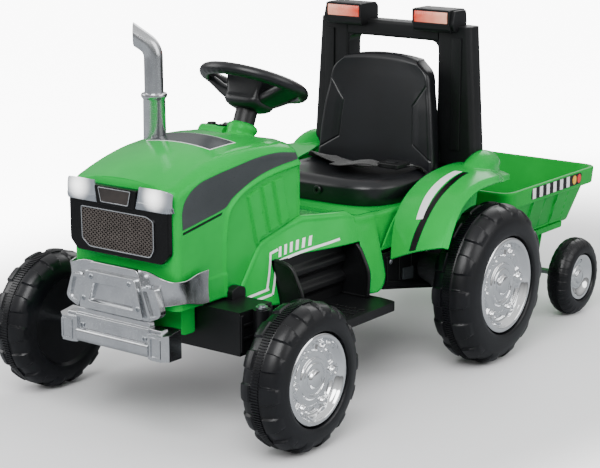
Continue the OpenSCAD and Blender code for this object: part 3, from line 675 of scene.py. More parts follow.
def inset(outline, by):  # closed outline moved inward by the same distance on every side
    outline = np.array(outline, float)
    ahead = np.roll(outline, -1, 0) - outline
    ahead /= np.linalg.norm(ahead, axis=1)[:, None]
    back = np.roll(ahead, 1, 0)
    normal = np.stack([-ahead[:, 1], ahead[:, 0]], -1) + np.stack([-back[:, 1], back[:, 0]], -1)
    shift = normal / (normal * np.stack([-ahead[:, 1], ahead[:, 0]], -1)).sum(1)[:, None]
    area = (outline[:, 0] * np.roll(outline[:, 1], -1) - outline[:, 1] * np.roll(outline[:, 0], -1)).sum()
    return outline + shift * by * np.sign(area)


def frameRing(outline, wide, front, back):
    # Flat ring between an outline and its inset, with depth: four rows of points round the section
    outer, inner = np.array(outline, float), inset(outline, wide)
    rows = [(outer, back), (outer, front), (inner, front), (inner, back)]
    grid = np.stack([np.stack([line[:, 0], np.full(len(line), y), line[:, 1]], -1) for line, y in rows])
    return surface(grid, closeRows=True, closeCols=True)


def meshBars(outline, pitch, wide, front, back):
    # Two sets of slanting bars clipped to a convex outline: each bar's centre line is cut by every side
    outline = np.array(outline, float)
    edge = np.roll(outline, -1, 0) - outline
    bars = []
    for slope in (0.82, -0.82):
        run = np.array([1.0, slope]) / math.hypot(1, slope)
        across = np.array([-run[1], run[0]])
        reach = np.abs(outline @ across - (outline @ across).mean()).max()
        middle = (outline @ across).mean()
        for offset in np.arange(-reach + pitch * 0.4, reach, pitch):
            origin = across * (middle + offset)
            normal = np.stack([edge[:, 1], -edge[:, 0]], -1)
            denom = normal @ run
            t = ((outline - origin) * normal).sum(1) / np.where(np.abs(denom) < 1e-9, 1e-9, denom)
            hits = origin + t[:, None] * run
            share = ((hits - outline) * edge).sum(1) / (edge ** 2).sum(1)
            t = t[(share >= -1e-6) & (share <= 1 + 1e-6) & (np.abs(denom) > 1e-9)]
            if len(t) < 2 or t.max() - t.min() < pitch:
                continue
            ends = [origin + run * value for value in (t.min(), t.max())]
            side = across * wide / 2
            bars.append(prism([ends[0] - side, ends[1] - side, ends[1] + side, ends[0] + side], front, back,
                              1))
    return joined(*bars)


def makeFascia():
    look = grilleLook
    low, high, front = fasciaLow, fasciaHigh, fasciaLow[1]
    outline = [(low[0] + 1, 322), (low[0] + 17, low[2]), (high[0] - 17, low[2]), (high[0] - 1, 322),
               (high[0] - 1, high[2] - 2), (low[0] + 1, high[2] - 2)]
    makePiece("fascia_moulding", prism(arcRounded(outline, 5), front, high[1], 1), blackAbs, "tractor",
              ("front_fascia",), bevel=2.5, segments=3)
    field = arcRounded(look["outline"], 3, 3)
    makePiece("grille_outline", frameRing(arcRounded(look["outline"], 5, 4), look["frameWide"], front - 2.6,
                                          front - 0.2),
              silverPaint, "tractor", ("grille",), bevel=0.5)
    makePiece("grille_mesh", meshBars(inset(field, 1.5), look["pitch"], look["barWide"], front - 1.6,
                                      front - 0.3),
              grilleMetal, "tractor")
    badge = arcRounded(look["badge"], 2, 3)
    makePiece("badge_outline", frameRing(badge, 1.5, front - 7.6, front - 5), silverPaint, "tractor",
              ("badge_panel",), bevel=0.4)
    makePiece("badge_field", prism(inset(badge, 0.6), front - 6.6, front + 1, 1), badgeFilm, "tractor",
              bevel=0.4)
    shoulder = arcRounded([(-41, 391), (41, 391), (46, high[2] - 1.5), (-46, high[2] - 1.5)], 4)
    makePiece("badge_shoulder", prism(shoulder, front - 5.4, front + 1, 1), blackAbs, "tractor",
              bevel=2, segments=3)


def makeLamps():
    # Lens over (u, v): u runs from the inner edge round the corner, v from the foot to the brow; the
    # front swells by a sine, the lowest quarter is fluted and the outer top corner is cut round
    lampLow, lampHigh = nodeBox("headlights")
    u, v = np.meshgrid(np.linspace(0, 1, 220), np.linspace(0, 1, 44), indexing="ij")
    cut = 0.2 * (1 - np.sqrt(np.clip(1 - smoothStep(u, 0.72, 1.0) ** 2, 0, 1)))
    tall = (lampHigh[2] - lampLow[2] - 1) * (1 - cut)
    z = lampLow[2] + 0.5 + tall * v
    bend = np.clip((u - 0.8) / 0.2, 0, 1) * np.pi / 2
    x = 41 + 9 * v + (60 - 9 * v) * np.clip(u / 0.8, 0, 1) + 12.5 * np.sin(bend)
    swell = 4 * np.sin(np.pi * np.clip(u, 0, 0.8) / 1.2) * np.sin(np.pi * v) ** 0.5
    y = fasciaLow[1] - 1.5 - swell + 11 * (1 - np.cos(bend))
    flutes = (0.5 + 0.5 * np.cos(u * 2 * np.pi * 24)) * (1 - smoothStep(v, 0.24, 0.3)) * (u > 0.02)
    y -= 1.8 * flutes + 0.9 * bump(v, 0.3, 0.015, 0.02)
    grid = np.stack([x, y, z], -1)
    makePiece("headlight_lenses", bothSides(thickened(grid, 3)), lampPaintedGlow, "tractor", ("headlights",),
              sharp=40)


bumperLook = {
    "band": ((128, -46), (127, -80), (124.5, -104), (115, -121), (98, -129), (60, -131.5), (0, -132)),
    "plate": ((-79, 211), (79, 211), (58, 277), (52, 294), (-52, 294), (-58, 277)),
    "frame": ((-71, 215), (71, 215), (54, 280), (-54, 280)),
    "window": ((-51, 228), (51, 228), (38, 262), (-38, 262)),
    "lug": ((60, 262), (66, 268), (92, 268), (105, 230), (100, 222), (79, 213)),
    "screws": ((42, 271), (60, 232), (69, 183)), "beamZ": (153, 202), "blockZ": (152, 195),
}


def openFrame(outer, inner, front, lip, back):
    # Flat frame between two outlines of as many points: it steps in by lip at the inner edge
    rows = [(outer, back), (outer, front), (inner, front), (inset(inner, lip * 0.5), front + lip),
            (inset(inner, lip * 0.5), back)]
    grid = np.stack([np.stack([line[:, 0], np.full(len(line), y), line[:, 1]], -1) for line, y in rows])
    return surface(grid, closeRows=True, closeCols=True)


def makeBumper():
    look = bumperLook
    # Band round the nose: a U in plan, highest at its tails and lowest where it turns the corner
    path = polyline(look["band"], 90)
    path = np.concatenate([path, path[-2::-1] * (-1, 1)])
    t = np.abs(np.linspace(-1, 1, len(path)))
    top = 293 - 13 * bump(t, 0.66, 0.03, 0.3) - 5 * smoothStep(t, 0.8, 1.0)
    foot = 233 + 9 * bump(t, 0.66, 0.03, 0.25)
    v = np.linspace(0, 1, 14)
    normal = np.stack([-np.gradient(path[:, 1]), np.gradient(path[:, 0])], -1)
    normal /= np.linalg.norm(normal, axis=1)[:, None]
    plan = path[:, None] - normal[:, None] * (2 * np.sin(np.pi * v))[None, :, None]
    grid = np.concatenate([plan, (foot[:, None] + (top - foot)[:, None] * v)[..., None]], -1)
    makePiece("bumper_band", thickened(grid, -3.5), silverPaint, "tractor", ("bumper_wrap",), bevel=0.9)
    lug = arcRounded(look["lug"], 4, 4)
    rim = openFrame(lug, inset(lug, 5), -140.5, 2, -134)
    makePiece("bumper_lugs", bothSides(prism(lug, -135.5, -127, 1)), silverPaint, "tractor",
              bevel=1.4, segments=3)
    makePiece("bumper_lug_rims", bothSides(rim), silverPaint, "tractor", bevel=1,
              segments=2)
    plate = arcRounded(look["plate"], (3, 3, 12, 8, 8, 12), 6)
    frameOut, frameIn = (arcRounded(look[key], 6, 5) for key in ("frame", "window"))
    steps = [prism([(-half, z0), (half, z0), (half, z1), (-half, z1)], front, -128, 1)
             for half, z0, z1, front in ((81, 196, 205, -144), (80, 204, 212, -141.5))]
    makePiece("bumper_plate", joined(prism(plate, -138, -128, 1), *steps), silverPaint, "tractor",
              bevel=1.4, segments=3)
    makePiece("bumper_plate_frame", openFrame(frameOut, frameIn, -146.5, 3, -137), silverPaint, "tractor",
              bevel=1.3, segments=3)
    # Lower beam: a sunk panel over a broad lip, and six-sided blocks at its ends
    low, high = look["beamZ"]
    beam = prism([(-104, -122), (-104, -141), (104, -141), (104, -122)], low + 2, high, 2)
    lip = prism(arcRounded([(-143, low), (-148, low + 6), (-148, 173), (-145, 176), (-138, 176),
                            (-138, low)], 2), -80, 80, 0)
    edge = prism(arcRounded([(-146, 196), (-146, high), (-138, high), (-138, 196)], 1.5), -80, 80, 0)
    makePiece("bumper_beam", joined(beam, block((-60, -124, 160), (60, -78, 184))), silverPaint, "tractor",
              ("bumper_bar",), bevel=2, segments=3)
    makePiece("bumper_beam_lips", joined(lip, edge), silverPaint, "tractor", bevel=1.2,
              segments=3)
    z0, z1 = look["blockZ"]
    plan = [(79, -116), (79, -145), (88, -149), (109, -149), (121, -140), (121, -110), (100, -110)]
    ends = prism(plan, z0, z1, 2)
    crown = prism(plan, z1 - 0.5, z1 + 6, 2)
    rise = smoothStep(crown[0][:, 1], -150, -112)
    crown[0][:, 2] = np.where(crown[0][:, 2] > z1 + 3, z1 + 6 * rise, crown[0][:, 2])
    rims = frameRing(arcRounded([(86, z0 + 4), (110, z0 + 4), (110, z1 - 4), (86, z1 - 4)], 2, 3), 3, -150.4,
                     -147)
    makePiece("bumper_end_blocks", bothSides(joined(ends, crown)), silverPaint, "tractor",
              bevel=2,
              segments=3)
    makePiece("bumper_end_rims", bothSides(rims), silverPaint, "tractor", bevel=0.8)


def screwHead(centre, axis, radius, high):
    # Button head over a ring of radii, with a sunk cross cut by two crossing slots
    axis = np.array(axis, float)
    side = np.cross(axis, (1, 0, 0) if abs(axis[0]) < 0.9 else (0, 0, 1))
    side /= np.linalg.norm(side)
    other = np.cross(axis, side)
    p, angle = np.meshgrid(np.linspace(0, 1, 22), np.linspace(0, 2 * np.pi, 64, endpoint=False))
    a, b = p * np.cos(angle), p * np.sin(angle)
    rise = high * np.sqrt(np.clip(1 - (p * 0.92) ** 2, 0, 1)) - high * 0.2
    slotA = (1 - smoothStep(np.abs(a), 0.1, 0.17)) * (1 - smoothStep(np.abs(b), 0.45, 0.55))
    slotB = (1 - smoothStep(np.abs(b), 0.1, 0.17)) * (1 - smoothStep(np.abs(a), 0.45, 0.55))
    rise = rise - high * 0.55 * np.maximum(slotA, slotB)
    grid = np.array(centre) + radius * (a[..., None] * side + b[..., None] * other) + rise[..., None] * axis
    skirt = grid[:, -1:] - axis * high
    return surface(np.concatenate([grid, skirt], 1), closeRows=True)


def makeNoseScrews():
    faces = (-146.2, -146.2, -142.2)
    heads = [screwHead((x, face, z), (0, -1, 0), 4.6, 2.8)
             for face, (x, z) in zip(faces, bumperLook["screws"])]
    makePiece("bumper_screw_heads", bothSides(joined(*heads)), zincSteel, "tractor", ("bumper_screws",),
              wall=0.8)


def makeValance():
    low, high = nodeBox("front_valance")
    low = low - (0, 0, 10)
    outline = arcRounded([(low[1], low[2] + 4), (low[1] + 8, low[2]), (high[1], low[2]), (high[1], high[2]),
                          (low[1], high[2])], 5, 4)
    makePiece("nose_valance", prism(outline, low[0] + 16, high[0] - 16, 0), greenAbs, "tractor",
              ("front_valance",),
              bevel=1.5)


# Perforated zinc alloy, painted a warm gunmetal
grilleMetal = finish("gunmetal_painted_mesh", {
    "low": "#625b57", "high": "#7a726d", "cloudMm": 30, "grainMm": 1.5, "grainDeep": 0.02, "rough": 0.35,
    "roughVary": 0.06}, Metallic=0.6)


badgeFilm = finish("printed_umber_vinyl_film", {
    "low": "#241f1d", "high": "#302a27", "cloudMm": 25, "grainMm": 1.2, "grainDeep": 0.01, "rough": 0.35,
    "roughVary": 0.05}, IOR=1.5)


def makeLampMaterial():
    # Clear polycarbonate over a reflector, with the reflector's shine painted in: a bright core that fades to
    # grey-white at the edges
    material, tree, shader = newMaterial("clear_polycarbonate_lamp_painted_glow", IOR=1.58, Roughness=0.1,
                                         Coat_Weight=0.15,
                                         Coat_Roughness=0.04, Emission_Strength=1.8)
    place = addNode(tree, "ShaderNodeTexCoord").outputs["Object"]
    parts = addNode(tree, "ShaderNodeSeparateXYZ", None, {"Vector": place})
    across = addNode(tree, "ShaderNodeMath", {"operation": "ABSOLUTE"}, {0: parts.outputs["X"]})
    away = addNode(tree, "ShaderNodeVectorMath", {"operation": "DISTANCE"}, {
        0: addNode(tree, "ShaderNodeCombineXYZ", None,
                   {"X": across.outputs[0], "Z": parts.outputs["Z"]}).outputs[0],
        1: (0.083, 0.0, 0.417)})
    glow = addNode(tree, "ShaderNodeMapRange", {"interpolation_type": "SMOOTHSTEP"}, {
        "Value": away.outputs["Value"], "From Min": 0.0, "From Max": 0.03, "To Min": 1.0, "To Max": 0.0})
    # Painted highlight: the base colour turns from grey to white towards each lamp's centre
    bowl = addNode(tree, "ShaderNodeMixRGB", None, {
        "Fac": glow.outputs["Result"], "Color1": linearColour("#7d838a"), "Color2": linearColour("#ffffff")})
    # Painted glow: emission, white at the core and black at the edges, stands in for the reflector's
    # reflection
    light = addNode(tree, "ShaderNodeMixRGB", None, {
        "Fac": glow.outputs["Result"], "Color1": linearColour("#0a0a0c"), "Color2": linearColour("#ffffff")})
    tree.links.new(bowl.outputs["Color"], shader.inputs["Base Color"])
    tree.links.new(light.outputs["Color"], shader.inputs["Emission Color"])
    return material


lampPaintedGlow = makeLampMaterial()
makeFascia()
makeLamps()
makeBumper()
makeNoseScrews()
makeValance()
print("nose made")

# ---- body, fenders and footboards
bodyLow, bodyHigh = nodeBox("body_shell")
bodyLook = {
    "footY": (50, 100, 150, 215, 260, 350), "footHalf": (120, 135, 150, 165, 175, 187), "rearHalf": 158,
    "topY": (50, 215, 260, 321, 396, 735), "topHalf": (115, 115, 132, 147, 148, 146),
    "stepY": (124, 331), "stepZ": 267, "tipY": 352, "rearY": 397, "rearFoot": 234, "deckSunk": 9,
    "bulge": 2.5, "corner": 9,
}


def bodyTop(y):
    hoodFoot = np.interp(y, hoodLook["footY"], hoodLook["footZ"]) - 0.5
    rear = np.interp(y, (220, 313, 415), (328.5, 323, 303))
    rear += 8 * smoothStep(y, 330, 415) - 8 * smoothStep(y, 316, 334)
    return np.where(y < 220, hoodFoot, rear)


def bodyFoot(y):
    look = bodyLook
    line = np.interp(y, (50, 350), (200, 171))
    curl = np.clip((y - look["tipY"]) / (look["rearY"] - look["tipY"]), 0, 1)
    line = line + (look["rearFoot"] - 171) * (1 - np.sqrt(1 - curl ** 2))
    inStep = (y > look["stepY"][0]) & (y < look["stepY"][1])
    return np.where(inStep, look["stepZ"], line)


def bodySide(y, z):
    # The side leans outward to its foot, in a straight line from the top edge plus a slight bulge
    look = bodyLook
    foot = np.interp(y, look["footY"], look["footHalf"])
    foot = foot + (look["rearHalf"] - foot) * smoothStep(y, 386, 410)
    low = np.interp(y, (50, 350), (200, 171))
    t = np.clip((z - low) / (bodyTop(y) - low), 0, 1)
    lean = foot + (curve(y, look["topY"], look["topHalf"]) - foot) * t
    return lean + look["bulge"] * np.sin(np.pi * t) * smoothStep(y, 60, 150)


def makeBodyShell():
    look = bodyLook
    # section stations along y, closest together where the side is cut or stepped
    y = np.array([bodyLow[1], 56, 64, 75, 90, 105, 115, 123.8, 124.2, *range(130, 326, 6), 330.8, 331.2,
                  336, 345, *np.linspace(look["tipY"], look["rearY"] - 1, 12), look["rearY"], 405, 415,
                  440, 480, 540, 600, 660, 710, bodyHigh[1] - 6, bodyHigh[1] - 2, bodyHigh[1]])
    foot, top = bodyFoot(y), bodyTop(y)
    tail = 6 * smoothStep(y, bodyHigh[1] - 7, bodyHigh[1])
    t = np.linspace(0, 1, 26)[:-1]
    z = foot[:, None] + (top - look["corner"] - foot)[:, None] * t
    x = bodySide(y[:, None], z) - tail[:, None]
    turn = np.linspace(0, np.pi / 2, 9)[:-1]
    x = np.concatenate([x, x[:, -1:] - look["corner"] * (1 - np.cos(turn))], 1)
    z = np.concatenate([z, (top - look["corner"])[:, None] + look["corner"] * np.sin(turn)], 1)
    over = np.linspace(1, 0, 22)
    deckX = x[:, -1:] * over
    sunk = look["deckSunk"] * smoothStep(y, 222, 232) * (1 - smoothStep(y, 396, 410))
    rim = smoothStep(x[:, -1:] - deckX, 7, 12)
    x = np.concatenate([x, deckX], 1)
    z = np.concatenate([z, top[:, None] - sunk[:, None] * rim], 1)
    half = np.stack([x, np.broadcast_to(y[:, None], x.shape), z], -1)
    front = half[:, :, 1] < 200     # under the hood the shell is open: only its sides are there
    half[:, 33:, 0] = np.where(front[:, 33:], np.maximum(half[:, 33:, 0], 96), half[:, 33:, 0])
    grid = np.concatenate([half, half[:, ::-1] * (-1, 1, 1)], axis=1)
    points, faces = surface(grid)
    cols = grid.shape[1]
    rear = (len(y) - 1) * cols + np.arange(cols)
    makePiece("body_moulding", (points, faces + [rear[None]]), greenAbs, "tractor", ("body_shell",), wall=3,
              sharp=36)


def makeBodyFilms():
    # Double white line that climbs from the front foot to the seat, with a row of leaning slashes
    def onBody(y, z):
        return bodySide(y, z), y, z

    route = [[(63, 206), (110, 212)], [(113, 213), (134, 262)], [(137, 263), (282, 279)]]
    outer = [[(62, 215), (106, 222)], [(103, 223), (127, 279)], [(128, 279), (146, 282)]]
    films = []
    for stretch in route + outer:
        a, b = np.array(stretch, float)
        run = (b - a) / np.linalg.norm(b - a)
        side = np.array([-run[1], run[0]]) * 2.1
        films.append(strip([a - run - side, b + run - side], [a - run + side, b + run + side], onBody,
                           rows=50, cols=4))
    for k in range(6):
        foot = np.array([143 + 14.2 * k, 269.5 + 1.5 * k])
        films.append(strip([foot, foot + (6.5, 0.7)], [foot + (8, 16), foot + (14.5, 16.7)], onBody, rows=8,
                           cols=10))
    makePiece("side_line_films", bothSides(joined(*films)), whiteFilm, "tractor")


fenderLook = {
    "inAngle": (50, 62, 75, 88, 110, 135, 160), "inX": (165, 163, 160, 152, 152, 162, 187),
    "inR": (230, 226, 214, 202, 198, 206, 214),
    "outAngle": (50, 58, 73, 84, 97, 120, 134, 150, 160),
    "outR": (230, 211, 199, 195, 194, 196, 200, 203, 206),
    "outX": (232, 240, 260, 267, 268, 272, 281, 288, 291),
    "crown": 7, "humpAngle": 60, "humpHigh": 31, "lip": 9,
}


def fenderPoint(angle, s):
    # Sheet over (angle about the rear axle, s from the inner to the outer edge): straight across plus a
    # crown, with a teardrop hump at the top rear and the outer edge rolled down
    look = fenderLook
    rearLow, rearHigh = nodeBox("rear_tyre_left")
    axle = (rearLow + rearHigh) / 2
    inX, inR = curve(angle, look["inAngle"], look["inX"]), curve(angle, look["inAngle"], look["inR"])
    outX, outR = curve(angle, look["outAngle"], look["outX"]), curve(angle, look["outAngle"], look["outR"])
    x = inX + (outX - inX) * s
    r = inR + (outR - inR) * s + look["crown"] * np.sin(np.pi * np.clip(s, 0, 1))
    far = angle - look["humpAngle"]
    reach = np.where(far > 0, far / 22, far / 9.5)
    dome = np.clip(1 - reach ** 2 - ((s - 0.42) / 0.33) ** 2, 0, 1)
    r = r + look["humpHigh"] * dome ** (0.5 + 0.55 * smoothStep(far, 0, 22)) * smoothStep(dome, 0, 0.2)
    r = r - look["lip"] * smoothStep(s, 0.9, 1.0) ** 2
    return x, axle[1] + r * np.cos(np.radians(angle)), axle[2] + r * np.sin(np.radians(angle))


def makeFenders():
    angle, s = np.meshgrid(np.linspace(160, 50, 150), np.linspace(0, 1, 60), indexing="ij")
    angle = angle - 11 * s * smoothStep(angle, 125, 160)    # the lower end is cut level
    grid = np.stack(fenderPoint(angle, s), -1)
    sheet = thickened(grid, -4)
    # Inner wall that carries the fender on the body
    a = np.linspace(50, 150, 40)
    look = fenderLook
    rearLow, rearHigh = nodeBox("rear_tyre_left")
    axle = (rearLow + rearHigh) / 2
    rise = curve(a, look["inAngle"], look["inR"]) - 2
    edge = np.stack([axle[1] + rise * np.cos(np.radians(a)), axle[2] + rise * np.sin(np.radians(a))], -1)
    keep = edge[edge[:, 1] < 722]
    foot = [(400, 236), (722, 236)]
    wall = prism(np.vstack([keep, foot]), 159.5, 163, 0)
    for side, turn in eachSide:
        makePiece("fender_moulding_" + side, turn(sheet), greenAbs, "tractor", ("fender_" + side,), sharp=50)
        makePiece("fender_inner_wall_" + side, turn(wall), greenAbs, "tractor",
                  bevel=0.8)
    white = strip([(138, 0.40), (115, 0.37), (91, 0.38)], [(137, 0.51), (115, 0.52), (90, 0.51)],
                  fenderPoint, rows=90,
                  heart=(None, 596, 152))
    dark = strip([(155, 0.38), (144, 0.44), (135, 0.50), (115, 0.55), (90, 0.54)],
                 [(154, 0.50), (143, 0.56), (130, 0.61), (110, 0.65), (89, 0.62)], fenderPoint, rows=90,
                 heart=(None, 596, 152))
    makePiece("fender_white_film", bothSides(white), whiteFilm, "tractor")
    makePiece("fender_black_film", bothSides(dark), blackFilm, "tractor")


stepLook = {
    "cheek": ((131, 168), (184, 168), (187, 214), (163, 262), (128, 267)), "cheekWide": 6, "lip": 4,
    "ribZ": (198, 234), "treadRows": 6, "treadCols": 4,
}


def footboard(high):
    look = stepLook
    board = prism(arcRounded([(100, 152), (high[0], 152), (high[0], 338), (200, high[1]), (100, high[1])],
                             9), 150, 166, 2)
    riserY = (126, 329)
    t = np.linspace(0, 1, 90)
    z = 166 + (high[2] - 166) * t
    x = 129 + 9 * sum(bump(z, level, 3, 12) for level in look["ribZ"])
    sheet = np.stack([np.stack([x, np.full_like(x, yy), z], -1)
                      for yy in np.linspace(riserY[0] + 4, riserY[1] - 4, 12)])
    riser = thickened(sheet, 4)
    cheeks, lips = [], []
    for y0 in (126, 323):
        outline = arcRounded(look["cheek"], (2, 5, 14, 14, 2), 6)
        plate = np.empty((2, len(outline), 3))
        plate[0, :, 0] = plate[1, :, 0] = outline[:, 0]
        plate[0, :, 2] = plate[1, :, 2] = outline[:, 1]
        plate[0, :, 1], plate[1, :, 1] = y0, y0 + look["cheekWide"]
        cheeks.append(surface(plate, closeCols=True, caps=True))
        path = np.stack([outline[4:-3, 0], np.full(len(outline) - 7, y0 + look["cheekWide"] / 2),
                         outline[4:-3, 1]], -1)
        lips.append(tube(path, look["lip"], 12))
    pads = []
    for row in range(look["treadRows"]):
        for col in range(look["treadCols"]):
            x0, y0 = 152 + 19 * col + (row % 2) * 4, 176 + 15 * row
            pads.append(prism([(x0, y0), (x0 + 13, y0 + 3), (x0 + 13, y0 + 8), (x0, y0 + 5)], 165.6, 168, 2))
    return joined(board, riser, *cheeks), joined(*lips), joined(*pads)


def makeSteps():
    body, lips, pads = footboard(nodeBox("step_left")[1])
    for side, turn in eachSide:
        makePiece("footboard_" + side, turn(body), blackPp, "tractor", ("step_" + side,), bevel=1.6,
                  segments=3)
        makePiece("footboard_lips_" + side, turn(lips), blackPp, "tractor")
        makePiece("footboard_treads_" + side, turn(pads), blackPp, "tractor", bevel=0.7)
    ears = [block((-x - 6, 296, 166), (-x, 312, 181)) for x in (166, 226)]
    makePiece("pedal_ears", joined(*ears), blackPp, "tractor", bevel=1.5)


def makePedal():
    # Tread plate, tilted about its pin, with seven cross ribs
    lean = math.radians(-12)
    turn = [(1, 0, 0), (0, math.cos(lean), -math.sin(lean)), (0, math.sin(lean), math.cos(lean))]
    plate = prism(arcRounded([(0, -88), (50, -88), (50, 0), (0, 0)], 6), -3, 2.4, 2)
    ribs = [block((5, -80 + 11 * k, 2), (45, -75 + 11 * k, 4)) for k in range(7)]
    part = moved(joined(plate, *ribs), (-224, 304, 174), turn)
    pin = tube([(-231, 304, 174), (-200, 304, 174), (-167, 304, 174)], 3, 20)
    makePiece("pedal_plate", part, blackPp, "pedal", ("pedal",), bevel=0.8)
    makePiece("pedal_pin", pin, zincSteel, "pedal")


makeBodyShell()
makeBodyFilms()
makeFenders()
makeSteps()
makePedal()
print("body made")

# ---- seat, belt and roll bar
seatLow, seatHigh = nodeBox("seat")
seatLook = {
    "cushionHigh": 46, "sideHalf": 140, "frontY": 415, "backY": 668, "round": 42, "bowl": 13, "edge": 15,
    "backHalf": ((0, 138), (60, 132), (150, 119), (200, 105), (222, 84)), "groove": 1.7, "grooveWide": 1.15,
}


def makeSeatCushion():
    # Squircle dome over (turn, p): p runs from the centre of the top out to the rim and down the skirt;
    # the top dips in a bowl and the front edge rolls over
    look = seatLook
    turn = np.linspace(0, 2 * np.pi, 160, endpoint=False)
    half, mid = look["sideHalf"], (look["frontY"] + look["backY"]) / 2
    long = (look["backY"] - look["frontY"]) / 2
    power = 2 / 3.6
    ringX = half * np.sign(np.cos(turn)) * np.abs(np.cos(turn)) ** power
    ringY = long * np.sign(np.sin(turn)) * np.abs(np.sin(turn)) ** power
    p = np.concatenate([np.linspace(0, 0.8, 24), 0.8 + 0.2 * np.sin(np.linspace(0, np.pi / 2, 16)[1:])])
    fall = np.concatenate([np.zeros(24), look["edge"] * (1 - np.cos(np.linspace(0, np.pi / 2, 16)[1:]))])
    x, y = ringX[:, None] * p, mid + ringY[:, None] * p
    # sides draw in slightly toward the front
    x = x * (1 - 0.03 * smoothStep(-(y - mid), 0, long))
    top = seatLow[2] + look["cushionHigh"]
    z = top - fall[None] - look["bowl"] * np.exp(-((x / 82) ** 2 + ((y - 545) / 72) ** 2))
    z += 3.0 * bump(p[None], 0.86, 0.03, 0.1) * (y < mid + 40)
    skirt = [np.stack([x[:, -1] * k, mid + (y[:, -1] - mid) * k, np.full(160, level)], -1)
             for k, level in ((1.0, seatLow[2] + 18), (0.985, seatLow[2] + 7), (0.965, seatLow[2] + 0.6),
                              (0.9, seatLow[2] + 0.6))]
    grid = np.concatenate([np.stack([x, y, z], -1), np.stack(skirt, 1)], axis=1)
    points, faces = surface(grid, closeRows=True)
    cols = grid.shape[1]
    faces.append((np.arange(160) * cols + cols - 1)[None])
    makePiece("seat_cushion_moulding", (points, faces), seatPp, "tractor", ("seat",), sharp=60)


def backFrame(u, v):
    # Point of the seat back's front face: v climbs from 0 to 1, u runs from -1 to 1 across; the outline
    # narrows upward and its top corners are round, and the sides stand forward as bolsters
    low, high = seatLow[2] + 34, seatHigh[2]
    z = low + (high - low) * v
    half = curve(z - low, [k for k, w in seatLook["backHalf"]], [w for k, w in seatLook["backHalf"]])
    x = half * u
    crown = 9 * (1 - np.abs(u) ** 2.2) * smoothStep(v, 0.82, 1.0)
    z = z - 10 * smoothStep(v, 0.8, 1.0) + crown
    y = 612 + 22 * v - 10 * np.abs(u) ** 2.4 - 3 * np.sin(np.pi * v) * (1 - u ** 2)
    return x, y, z


def makeSeatBack():
    look = seatLook
    v, u = np.meshgrid(np.linspace(0, 1, 190), np.linspace(-1, 1, 260), indexing="ij")
    x, y, z = backFrame(u, v)
    # Moulded piping: a bolster panel on each side, drawn by its outline, sunk as a narrow groove
    corners = np.array([(0.97, 0.12), (0.66, 0.24), (0.655, 0.57), (0.95, 0.75)])
    share = np.linspace(0, 3, 240)
    panel = np.stack([np.interp(share, range(4), corners[:, k]) for k in (0, 1)], -1)
    d = fromLine(np.abs(u), v * 1.9, panel * (1, 1.9))
    y = y + look["groove"] * np.exp(-(d * 118 / look["grooveWide"]) ** 2)
    bolster = smoothStep(v, 0.16, 0.34) * (1 - smoothStep(v, 0.52, 0.72))
    y = y - 2 * smoothStep(np.abs(u), 0.66, 0.8) * bolster
    roll = 1 - np.sqrt(np.clip(1 - np.clip((np.abs(u) - 0.93) / 0.07, 0, 1) ** 2, 0, 1))
    rollTop = 1 - np.sqrt(np.clip(1 - np.clip((v - 0.95) / 0.05, 0, 1) ** 2, 0, 1))
    y = y + 11 * np.maximum(roll, rollTop)
    front = np.stack([x, y, z], -1)
    back = front[:, ::10].copy()
    back[..., 1] = 644 + 20 * v[:, ::10] - 4 * (1 - u[:, ::10] ** 2)
    ring = np.concatenate([front, back[:, ::-1]], axis=1)
    makePiece("seat_back_moulding", surface(ring, closeCols=True, caps=True), seatPp, "tractor",
              sharp=55)


def makeSeatTrim():
    ring = turned([(-2.6, 3.2), (-2.6, 7.4), (-1.2, 8.6), (1.4, 8.6), (1.4, 3.2)], (8, 412.5, 327),
                  (0, 1, 0), 40)
    makePiece("seat_screw_ring", ring, seatPp, "tractor")
    makePiece("seat_screw_head", screwHead((8, 413.5, 327), (0, -1, 0), 6.5, 2.4), blackAbs, "tractor",
              ("seat_screw",), wall=0.8)


def strapRibbon(points, half, thick, twist=0.0):
    # Flat strap along a path: width to each side of the run, tilted by twist radians at each point
    path = polyline(points, 110)
    run = np.gradient(path, axis=0)
    run /= np.linalg.norm(run, axis=1)[:, None]
    side = np.cross(run, (0, 0, 1))
    side /= np.linalg.norm(side, axis=1)[:, None]
    up = np.cross(side, run)
    twist = np.atleast_1d(twist)
    tilt = np.interp(np.linspace(0, 1, len(path)), np.linspace(0, 1, len(twist)), twist)
    across = np.cos(tilt)[:, None] * side + np.sin(tilt)[:, None] * up
    normal = np.cross(run, across)
    w = np.linspace(-1, 1, 13)
    hem = 0.35 * np.abs(w) ** 6
    grid = path[:, None] + across[:, None] * (w * half)[None, :, None]
    grid = grid + normal[:, None] * hem[None, :, None]
    return thickened(grid, thick)


